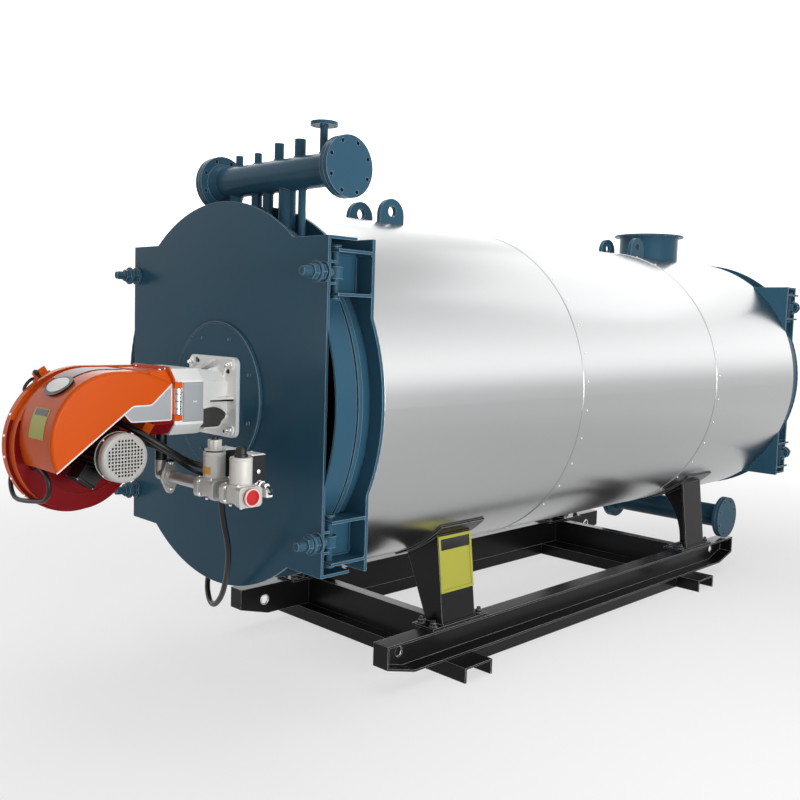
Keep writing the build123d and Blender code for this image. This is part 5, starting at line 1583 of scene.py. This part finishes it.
@dataclass
class BurnerHood:
    """Window, bare plates, trim with a painted edge highlight, latch, handle and rim screws of the
    orange hood and its scroll.
    """

    nose_setback: float = 0.578
    nose_height: float = -0.145
    nose_radius: float = 0.270
    side_x: float = 0.179
    panes: tuple[tuple[str, Spot, tuple[float, float], float, int, Finish], ...] = (
        ("hood_window", (0.130, 0.232, 0.002), (-0.014, 0.034), 0.0008, 14, SMOKED_PANE),
        ("hood_window_frame", (0.140, 0.242, 0.0014), (-0.014, 0.034), 0.0, 14, BLACK_PLASTIC_AND_SHADE),
    )
    plates: tuple[tuple[str, Spot, tuple[float, float], float, int, Finish], ...] = (
        ("hood_plate", (0.126, 0.120, 0.0012), (0.050, 0.353), 0.0003, 14, YELLOW_PLATE),
        ("hood_plate_head", (0.106, 0.026, 0.0008), (0.052, 0.309), 0.0012, 6, BLACK_PLASTIC_AND_SHADE),
    )
    badge_centre: tuple[float, float] = (0.038, 0.186)
    badges: tuple[tuple[str, Spot, float, Finish], ...] = (
        ("badge_frame", (0.088, 0.053, 0.010), -0.001, BLACK_PLASTIC_AND_SHADE),
        ("badge_face", (0.071, 0.039, 0.0025), 0.0088, WHITE_LABEL),
    )
    hood_edge: Outline = (
        (0.720, -0.1725), (0.560, -0.050), (0.525, -0.023), (0.512, -0.014), (0.490, -0.0135),
        (0.450, -0.0135), (0.431, -0.012), (0.405, 0.012), (0.341, 0.070),
    )
    panel_edge: Outline = (
        (0.343, 0.062), (0.3425, -0.010), (0.343, -0.060), (0.343, -0.075), (0.350, -0.0765),
        (0.430, -0.0765), (0.515, -0.0765), (0.524, -0.074), (0.535, -0.062), (0.550, -0.045),
    )
    nose_end: float = -23.6
    hood_wire: float = 0.0065
    panel_wire: float = 0.0052
    latch_foot: Spot = (0.014, 0.080, 0.006)
    latch_ear: Spot = (0.006, 0.060, 0.030)
    latch_spot: Spot = (-0.150, 0.735, 0.088)
    latch_tilt: float = 32.0
    knob_radius: float = 0.013
    knob_stem: float = 0.014
    knob_spot: Spot = (-0.150, 0.760, 0.104)
    knob_tilt: float = 40.0
    grip_wire: float = 0.013
    grip: tuple[Spot, ...] = (
        (-0.190, 0.735, 0.066), (-0.192, 0.748, 0.082), (-0.193, 0.768, 0.070),
        (-0.193, 0.788, 0.046), (-0.192, 0.790, 0.026), (-0.190, 0.778, 0.016),
    )
    scroll_x: float = -0.168
    scroll_height: float = -0.207
    scroll_radius: float = 0.303
    scroll_growth: float = 0.000378
    rim_screw: tuple[float, float] = (0.012, 0.005)
    rim_degrees: tuple[int, ...] = (28, 12, -4, -22, -40, -62, -85)

    def build(self) -> None:
        """Makes the hood's details."""
        for *pane, finish in self.panes:
            dress(self.sheet(*pane), finish)
        self.build_badge()
        for *plate, finish in self.plates:
            dress(self.sheet(*plate), finish)
        self.build_edge_trim_highlight()
        self.build_latch()
        self.build_rim_screws()

    def lay(self, piece: Object) -> Object:
        """Bends a flat piece over the hood, and turns its faces out.

        Args:
            piece: Piece with X across the hood, Y down from where its nose starts, and Z over it.

        Returns:
            The piece.
        """
        for point in piece.data.vertices:
            x, travel, rise = point.co
            tilt = max(travel, 0.0) / self.nose_radius
            reach = self.nose_radius + rise
            setback = self.nose_setback + min(travel, 0.0) + reach * sin(tilt)
            point.co = at(x, setback, self.nose_height + reach * cos(tilt))
        piece.data.update()
        return turn_out(piece)

    def sheet(
        self, name: str, size: Spot, middle: Sequence[float], seat: float, cuts: int
    ) -> Object:
        """Makes a thin sheet that follows the hood.

        Args:
            name: Sheet's name.
            size: Its width in X, its length along the hood and its thickness.
            middle: X and the distance along the hood of its middle.
            seat: Height of its underside over the hood.
            cuts: Cuts along its length.

        Returns:
            The sheet.
        """
        bpy.ops.mesh.primitive_cube_add(size=1)
        piece = named(name)
        piece.scale = size
        piece.location = (*middle, seat + size[2] / 2)
        length = size[1] * 0.9
        with editing(settle(piece), edges=lambda first, second: abs(first.y - second.y) > length):
            bpy.ops.mesh.subdivide(number_cuts=cuts)
        return self.lay(piece)

    def build_badge(self) -> None:
        """Lays the bare white oval in its dark frame below the window."""
        for name, size, seat, finish in self.badges:
            bpy.ops.mesh.primitive_cylinder_add(
                vertices=64, radius=1.0, depth=1.0, end_fill_type="TRIFAN"
            )
            oval = named(name)
            oval.scale = size
            oval.location = (*self.badge_centre, seat + size[2] / 2)
            with editing(settle(oval), lambda face: abs(face.normal.z) > 0.9):
                bpy.ops.mesh.subdivide(number_cuts=3)
            dress(self.lay(oval), finish)

    def build_edge_trim_highlight(self) -> None:
        """Runs the pale trim along the hood's lower edge and round the grey panel; its pale colour is a
        painted edge highlight.
        """
        tip = radians(self.nose_end)
        start = (self.nose_setback + self.nose_radius * cos(tip),
                 self.nose_height + self.nose_radius * sin(tip))
        # The pale colour of these tubes is a painted edge highlight.
        for name, line, wire in (("hood_trim_highlight", (start, *self.hood_edge), self.hood_wire),
                                 ("panel_trim_highlight", self.panel_edge, self.panel_wire)):
            dress(tube(name, [at(self.side_x, *spot) for spot in line], wire), TRIM_AND_HIGHLIGHT_WHITE)

    def build_latch(self) -> None:
        """Makes the orange latch with its knob and the black handle on the scroll's rim."""
        ear = put(block("latch_ear", self.latch_ear, 0.002, 0.004), move(0.004, 0, 0))
        latch = join("hood_latch", [block("latch_foot", self.latch_foot, 0.0015), ear])
        tilt = turn(radians(self.latch_tilt), "X")
        dress(put(latch, move(*at(*self.latch_spot)) @ tilt), BURNER_ORANGE)
        bpy.ops.mesh.primitive_uv_sphere_add(segments=24, ring_count=12, radius=self.knob_radius)
        knob = named("latch_knob")
        with editing(knob, lambda face: face.center.z < -0.009):
            stem = {"value": (0, 0, -self.knob_stem)}
            bpy.ops.mesh.extrude_region_move(TRANSFORM_OT_translate=stem)
        tilt = turn(radians(self.knob_tilt), "X")
        dress(put(knob, move(*at(*self.knob_spot)) @ tilt), BLACK_PLASTIC_AND_SHADE)
        dress(tube("rim_handle", [at(*spot) for spot in self.grip], self.grip_wire), BLACK_PLASTIC_AND_SHADE)

    def build_rim_screws(self) -> None:
        """Sets the screws round the scroll's outer rim, which winds slowly outwards."""
        places = []
        for degrees in self.rim_degrees:
            angle = radians(degrees)
            radius = self.scroll_radius + self.scroll_growth * degrees
            seat = at(self.scroll_x, self.nose_setback + radius * cos(angle),
                      self.scroll_height + radius * sin(angle))
            places.append(move(*seat) @ turn(-angle, "X") @ place((0, 0, 0), Facing.FRONT))
        spread("scroll_rim_screws", screw("rim_screw", *self.rim_screw), places, BRIGHT_ZINC)


@dataclass
class MotorFittings:
    """Rim, screws and terminal lid of the fan motor."""

    hub_setback: float = 0.578
    hub_height: float = -0.207
    rim_inset: float = 0.002
    rim_wire: float = 0.0035
    rim_seat: float = 0.005
    screw_seat: float = 0.018
    cover_screw: tuple[float, float] = (0.010, 0.004)
    cover_screws: int = 4
    lid_x: float = 0.030
    lid_degrees: float = 54.0
    lid_reach: float = 0.1325
    lid_size: Spot = (0.100, 0.088, 0.010)
    lid_margin: float = 0.008
    lid_rise: float = 0.003
    lid_screw: tuple[float, float] = (0.008, 0.003)
    lid_screws: tuple[float, float] = (0.044, 0.038)

    def hub(self, x: float) -> Vector:
        """Gives the point of the motor's axis at this X."""
        return at(x, self.hub_setback, self.hub_height)

    def build(self) -> None:
        """Makes the motor's fittings."""
        low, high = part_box("motor_fan_cover")
        radius = (high.z - low.z) / 2
        rim = ring("cover_rim", radius - self.rim_inset, self.rim_wire, 72, 10, 1.6)
        dress(put(rim, place(self.hub(low.x + self.rim_seat), Facing.RIGHT)), COVER_WHITE)
        circle = ring_places(self.hub(low.x + self.screw_seat), Facing.RIGHT, radius,
                             self.cover_screws, pi / self.cover_screws)
        spread("cover_screws", screw("cover_side_screw", *self.cover_screw),
               [spot @ turn(pi / 2, "Y") for spot in circle], BRIGHT_ZINC)
        self.build_terminal_lid()

    def build_terminal_lid(self) -> None:
        """Makes the terminal box's lid with a raised middle and four screws."""
        angle = radians(self.lid_degrees)
        out = Vector((0, -cos(angle), -sin(angle))) * self.lid_reach
        centre = self.hub(self.lid_x) + out
        seat = move(*centre) @ turn(angle, "X") @ place((0, 0, 0), Facing.FRONT)
        lid = block("terminal_lid", self.lid_size, 0.003)
        dress(put(sink_top(lid, self.lid_margin, -self.lid_rise), seat), MOTOR_BLACK)
        x, y = self.lid_screws
        places = [seat @ move(side * x, level * y, self.lid_size[2]) for side, level in CORNERS]
        spread("terminal_screws", screw("lid_screw", *self.lid_screw), places, BRIGHT_ZINC)


@dataclass
class GasTrainFittings:
    """Coils, screws, rings, plugs and lids of the gas train."""

    axis_setback: float = 0.300
    axis_height: float = -0.323
    valves: tuple[float, float] = (0.430, 0.608)
    flange_seat: float = 0.041
    flange_screws: tuple[float, float] = (0.041, 0.026)
    pipe_flange_seat: float = 0.108
    pipe_flange_screws: float = 0.055
    cap_screw: tuple[float, ...] = (0.0075, 0.009, 0.0012)
    socket_margin: float = 0.0025
    socket_depth: float = 0.004
    foot_screws: Spot = (0.425, 0.585, 0.655)
    foot_screw: tuple[float, ...] = (0.007, 0.011, 0.014)
    foot_before: float = 0.030
    foot_below: float = -0.0385
    coil_foot: float = -0.281
    coil_top: float = -0.178
    coil_radius: float = 0.0435
    coil_rings: tuple[float, float] = (-0.278, -0.188)
    lip_size: tuple[float, ...] = (0.040, 0.004, 0.001)
    lip_height: float = -0.172
    gap_size: tuple[float, ...] = (0.034, 0.0065, 0.001)
    gap_height: float = -0.1783
    pad_size: Spot = (0.092, 0.092, 0.006)
    pad_foot: float = -0.287
    pad_screws: float = 0.040
    pad_screw: tuple[float, float] = (0.011, 0.005)
    cap_height: float = -0.168
    cap_radius: float = 0.0255
    cap_rise: float = 0.038
    cap_rib: Spot = (0.005, 0.008, 0.036)
    cap_ribs: int = 10
    plug_size: tuple[float, ...] = (0.013, 0.016, 0.002)
    plug_height: float = -0.134
    second_cap: tuple[Spot, ...] = (
        (-0.1783, 0.026, 0.012), (-0.167, 0.0205, 0.012), (-0.156, 0.0215, 0.012),
        (-0.145, 0.017, 0.006),
    )
    amber_degrees: tuple[float, float] = (-122.0, -52.0)
    amber_height: float = -0.250
    lid_half: float = 0.045
    lid_plate: float = 0.004
    lid_screws: tuple[float, float] = (0.036, 0.026)
    lead: Outline = ((0.058, 0.036), (0.076, 0.034), (0.088, 0.018), (0.084, 0.010), (0.070, 0.010))

    def on_axis(self, x: float, out: float = 0.0, up: float = 0.0) -> Vector:
        """Gives the point this far along, before and over the gas line."""
        return at(x, self.axis_setback + out, self.axis_height + up)

    def on_coil(self, valve: int, height: float) -> Matrix:
        """Gives the place on a coil's axis at a height over the boiler's axis."""
        return place(at(self.valves[valve], self.axis_setback, height))

    def build(self) -> None:
        """Makes the gas train's fittings."""
        self.build_flange_screws()
        self.build_coils()
        self.build_pads()
        self.build_caps()
        self.build_amber_plate()
        self.build_boxes()
        self.build_side_connector()
        self.build_plug_ring()

    def build_flange_screws(self) -> None:
        """Sets the cap screws of the valves' and the pipe's flanges and those under the valves."""
        depth, height = self.flange_screws
        places = [place(self.on_axis(x + sign * self.flange_seat, out * depth, up * height), facing)
                  for x in self.valves for facing, sign in ((Facing.RIGHT, -1), (Facing.LEFT, 1))
                  for out, up in CORNERS]
        places += [place(self.on_axis(self.pipe_flange_seat, 0.0, way * self.pipe_flange_screws),
                         Facing.RIGHT) for way in SIGNS]
        head = disc("cap_screw", *self.cap_screw, 20)
        with editing(head, looks_up):
            bpy.ops.mesh.inset(thickness=self.socket_margin)
            socket = {"value": (0, 0, -self.socket_depth)}
            bpy.ops.mesh.extrude_region_move(TRANSFORM_OT_translate=socket)
        spread("valve_flange_screws", head, places, BRIGHT_ZINC)
        feet = [place(self.on_axis(x, self.foot_before, self.foot_below), Facing.DOWN)
                for x in self.foot_screws]
        spread("valve_foot_screws", bolt("foot_screw", *self.foot_screw), feet, BRIGHT_ZINC)

    def build_coils(self) -> None:
        """Turns the two valve coils with their lips, in place of their plain solids."""
        parts = []
        for valve in (0, 1):
            body = disc("coil", self.coil_radius, self.coil_top - self.coil_foot, 0.003, 48)
            parts.append(put(body, self.on_coil(valve, self.coil_foot)))
            parts += [put(ring("coil_ring", self.coil_radius - 0.0015, 0.0025),
                          self.on_coil(valve, level)) for level in self.coil_rings]
        lip = put(disc("coil_lip", *self.lip_size, 48), self.on_coil(0, self.lip_height))
        cap = sink_top(disc("coil_cap", self.cap_radius, self.cap_rise, 0.003, 40), 0.006, 0.002)
        coils = join("valve_coils", [*parts, lip, put(cap, self.on_coil(0, self.cap_height))])
        dress(coils, COVER_WHITE)
        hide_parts("gas_solenoids")
        gap = disc("coil_gap", *self.gap_size, 48)
        dress(put(gap, self.on_coil(0, self.gap_height)), BLACK_PLASTIC_AND_SHADE)

    def build_pads(self) -> None:
        """Makes the square seats under the coils, with a screw at each corner."""
        pads = [put(block("coil_seat", self.pad_size, 0.0015), self.on_coil(valve, self.pad_foot))
                for valve in (0, 1)]
        dress(join("coil_seats", pads), VALVE_METAL)
        top = self.pad_foot + self.pad_size[2]
        places = [self.on_coil(valve, top) @ move(side * self.pad_screws, out * self.pad_screws, 0)
                  for valve in (0, 1) for side, out in CORNERS]
        spread("coil_seat_screws", screw("seat_screw", *self.pad_screw), places, BRIGHT_ZINC)

    def build_caps(self) -> None:
        """Ribs the first coil's cap, sets its black plug and rings the second's cap."""
        hub = at(self.valves[0], self.axis_setback, self.cap_height)
        spread("cap_ribs", block("cap_rib", self.cap_rib, 0.0015),
               ring_places(hub, Facing.UP, self.cap_radius, self.cap_ribs), COVER_WHITE)
        plug = sink_top(disc("cap_plug", *self.plug_size, 24), 0.004, 0.003)
        dress(put(plug, self.on_coil(0, self.plug_height)), BLACK_PLASTIC_AND_SHADE)
        rings = [put(disc("cap_ring", radius, height, 0.0025, 40), self.on_coil(1, level))
                 for level, radius, height in self.second_cap]
        dress(join("second_coil_cap", rings), BLACK_PLASTIC_AND_SHADE)

    def build_amber_plate(self) -> None:
        """Lays the bare amber plate round the first coil's near left side."""
        bpy.ops.mesh.primitive_cylinder_add(
            vertices=96, radius=self.coil_radius + 0.0008, depth=0.030, end_fill_type="NOTHING"
        )
        plate = named("amber_plate")
        low, high = (radians(degrees) for degrees in self.amber_degrees)
        with editing(plate, lambda face: not low < atan2(face.center.y, face.center.x) < high):
            bpy.ops.mesh.delete(type="FACE")
        put(plate, self.on_coil(0, self.amber_height))
        skin = plate.modifiers.new("skin", "SOLIDIFY")
        skin.thickness = 0.0008
        skin.offset = 1.0
        activate(plate)
        bpy.ops.object.modifier_apply(modifier=skin.name)
        dress(plate, AMBER_PLATE)

    def build_boxes(self) -> None:
        """Sets pale lids with screws on the two switch boxes, and a knob at the near one's side."""
        low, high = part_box("gas_switch_box")
        middle_y = (low.y + high.y) / 2
        middles = [place((x, middle_y, high.z)) for x in (low.x + self.lid_half, high.x - self.lid_half)]
        size = (2 * self.lid_half, high.y - low.y, self.lid_plate)
        dress(join("switch_box_lids", [put(block("box_lid", size, 0.0012), spot) for spot in middles]),
              WHITE_LABEL)
        x, y = self.lid_screws
        places = [spot @ move(side * x, out * y, self.lid_plate) for spot in middles
                  for side, out in CORNERS]
        spread("switch_lid_screws", screw("lid_screw", 0.007, 0.003), places, BRIGHT_ZINC)
        knob = place((high.x, middle_y - 0.004, low.z + 0.088), Facing.RIGHT)
        dress(put(disc("box_knob", 0.009, 0.010, 0.002, 24), knob), BRIGHT_ZINC)

    def build_side_connector(self) -> None:
        """Makes the metal gland, the white connector and its lead beside the second box."""
        low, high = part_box("gas_switch_box")
        seat_y = (low.y + high.y) / 2
        stem = put(disc("gland_stem", 0.013, 0.034, 0.003, 24), move(0, 0, 0.026))
        gland = join("side_gland", [
            disc("gland_foot", 0.020, 0.014, 0.003, 24), hexagon("gland_nut", 0.034, 0.014, 0.014), stem,
        ])
        dress(put(gland, place((high.x, seat_y, low.z + 0.036), Facing.RIGHT)), BRIGHT_ZINC)
        body = block("white_connector", (0.036, 0.030, 0.030), 0.003)
        with editing(body, lambda face: face.normal.x > 0.9):
            bpy.ops.mesh.inset(thickness=0.005, depth=-0.004)
        dress(put(body, place((high.x + 0.056, seat_y, low.z - 0.004))), WHITE_LABEL)
        route = [(high.x + out, seat_y, low.z + up) for out, up in self.lead]
        dress(tube("connector_lead", route, 0.009), BLACK_RUBBER_AND_SHADOW)

    def build_plug_ring(self) -> None:
        """Rings the red outlet plug with a pale lip."""
        low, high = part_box("gas_outlet_plug")
        lip = ring("plug_ring", (high.z - low.z) / 2 - 0.001, 0.0035, stretch=1.5)
        seat = place((high.x - 0.003, *middle_of("gas_outlet_plug").yz), Facing.RIGHT)
        dress(put(lip, seat), PLUG_LIP)


@dataclass
class Studio:
    """Pale floor, soft lamps, white surroundings and the camera at the photograph's place."""

    camera_spot: Spot = (3.470, -4.1925, 1.709)
    camera_yaw: float = 44.779
    camera_pitch: float = -4.975
    camera_roll: float = 1.757
    focal_pixels: float = 919.85
    frame_pixels: float = 800.0
    sensor: float = 36.0
    floor_size: float = 60.0
    floor_tones: tuple[float, float] = (0.95, 0.98)
    fade: tuple[float, float] = (2.4, 6.5)
    lift: float = 0.6
    daylight: float = 0.18
    dawn_heights: tuple[float, float] = (0.0, 0.16)
    dawn_glow: tuple[float, float] = (0.50, 1.0)
    sky_heights: tuple[float, float] = (0.25, 0.85)
    sky_glow: tuple[float, float] = (2.10, 0.75)
    lamps: tuple[tuple[str, Spot, Spot, float, float, float], ...] = (
        ("side_lamp", (6.0, -1.8, 1.5), (0.0, -1.0, 1.3), 4.6, 1.6, 230.0),
        ("burner_lamp", (-1.9, -4.9, 1.3), (0.0, -2.7, 1.3), 1.2, 1.2, 14.0),
        ("top_lamp", (-0.3, -0.6, 5.4), (0.0, 0.0, 1.3), 7.0, 4.0, 150.0),
        ("rear_top_lamp", (0.4, 5.8, 5.8), (0.0, 0.5, 1.4), 5.0, 3.2, 36.0),
    )

    def build(self) -> None:
        """Sets up the whole studio."""
        self.build_floor()
        self.build_world()
        for name, spot, target, length, width, power in self.lamps:
            bpy.ops.object.light_add(type="AREA", location=spot)
            light = named(name)
            light.data.shape = "RECTANGLE"
            light.data.size = length
            light.data.size_y = width
            light.data.energy = power
            aim = Vector(target) - Vector(spot)
            light.rotation_euler = aim.to_track_quat("-Z", "Y").to_euler()
        self.build_camera()
        bpy.context.scene.view_settings.view_transform = "Standard"

    def build_floor(self) -> None:
        """Lays the pale floor, which keeps the boiler's shadow and fades to white far away."""
        bpy.ops.mesh.primitive_plane_add(size=self.floor_size)
        floor = named("studio_floor")
        with editing(floor, lambda face: True):
            bpy.ops.mesh.subdivide(number_cuts=3)
        material, bench, surface = new_material("studio floor")
        where = bench.place()
        shade = bench.add("ValToRGB", {0: bench.noise(where, 0.7)})
        for element, tone in zip(shade.color_ramp.elements, self.floor_tones):
            element.color = (tone, tone, tone, 1)
        matt = {"Base Color": shade.outputs[0], "Roughness": 0.9, "Specular IOR Level": 0.0}
        bench.feed(surface, matt)
        reach = bench.add("VectorMath", {0: where}, operation="LENGTH").outputs["Value"]
        far = bench.span(reach, *self.fade, self.lift, 1.0)
        share = bench.math("MULTIPLY", far, bench.seen())
        white = bench.add("Emission").outputs[0]
        blend = bench.add("MixShader", {0: share, 1: surface.outputs[0], 2: white})
        bench.feed(material.node_tree.nodes["Material Output"], {0: blend.outputs[0]})
        floor.data.materials.append(material)

    def build_world(self) -> None:
        """Makes the surroundings white to the eye and in reflections, and softer as light."""
        world = bpy.data.worlds.new("studio surroundings")
        bpy.context.scene.world = world
        world.use_nodes = True
        bench = NodeBench(world.node_tree)
        white = (1, 1, 1, 1)
        light = world.node_tree.nodes["Background"]
        bench.feed(light, {"Color": white, "Strength": self.daylight})
        way = bench.add("SeparateXYZ", {0: bench.add("TexCoord").outputs["Generated"]}).outputs["Z"]
        dawn = bench.span(way, *self.dawn_heights, *self.dawn_glow)
        dusk = bench.span(way, *self.sky_heights, *self.sky_glow)
        glow = bench.math("MULTIPLY", dawn, dusk)
        seen = bench.add("Background", {"Color": white, "Strength": glow})
        share = bench.seen()
        blend = bench.add("MixShader", {0: share, 1: light.outputs[0], 2: seen.outputs[0]})
        bench.feed(world.node_tree.nodes["World Output"], {0: blend.outputs[0]})

    def build_camera(self) -> None:
        """Sets the camera where the photograph was taken from."""
        bpy.ops.object.camera_add(location=self.camera_spot)
        camera = named("studio_camera")
        camera.matrix_world = (
            move(*self.camera_spot) @ turn(radians(self.camera_yaw), "Z")
            @ turn(radians(90 + self.camera_pitch), "X") @ turn(radians(self.camera_roll), "Z")
        )
        camera.data.sensor_width = self.sensor
        camera.data.lens = self.focal_pixels * self.sensor / self.frame_pixels
        camera.data.clip_end = 200.0
        bpy.context.scene.camera = camera


def main() -> None:
    """Builds the scene in order: the studio and its camera, the cables, and then the rest."""
    logging.basicConfig(level=logging.INFO, format="%(name)s: %(message)s")
    for assembly in (
        Studio, Cables, Paintwork, CladdingTrim, DoorCorners, PipeWelds, SkidFittings, BurnerHead,
        BurnerHood, MotorFittings, GasTrainFittings,
    ):
        assembly().build()


if __name__ == "__main__":
    main()
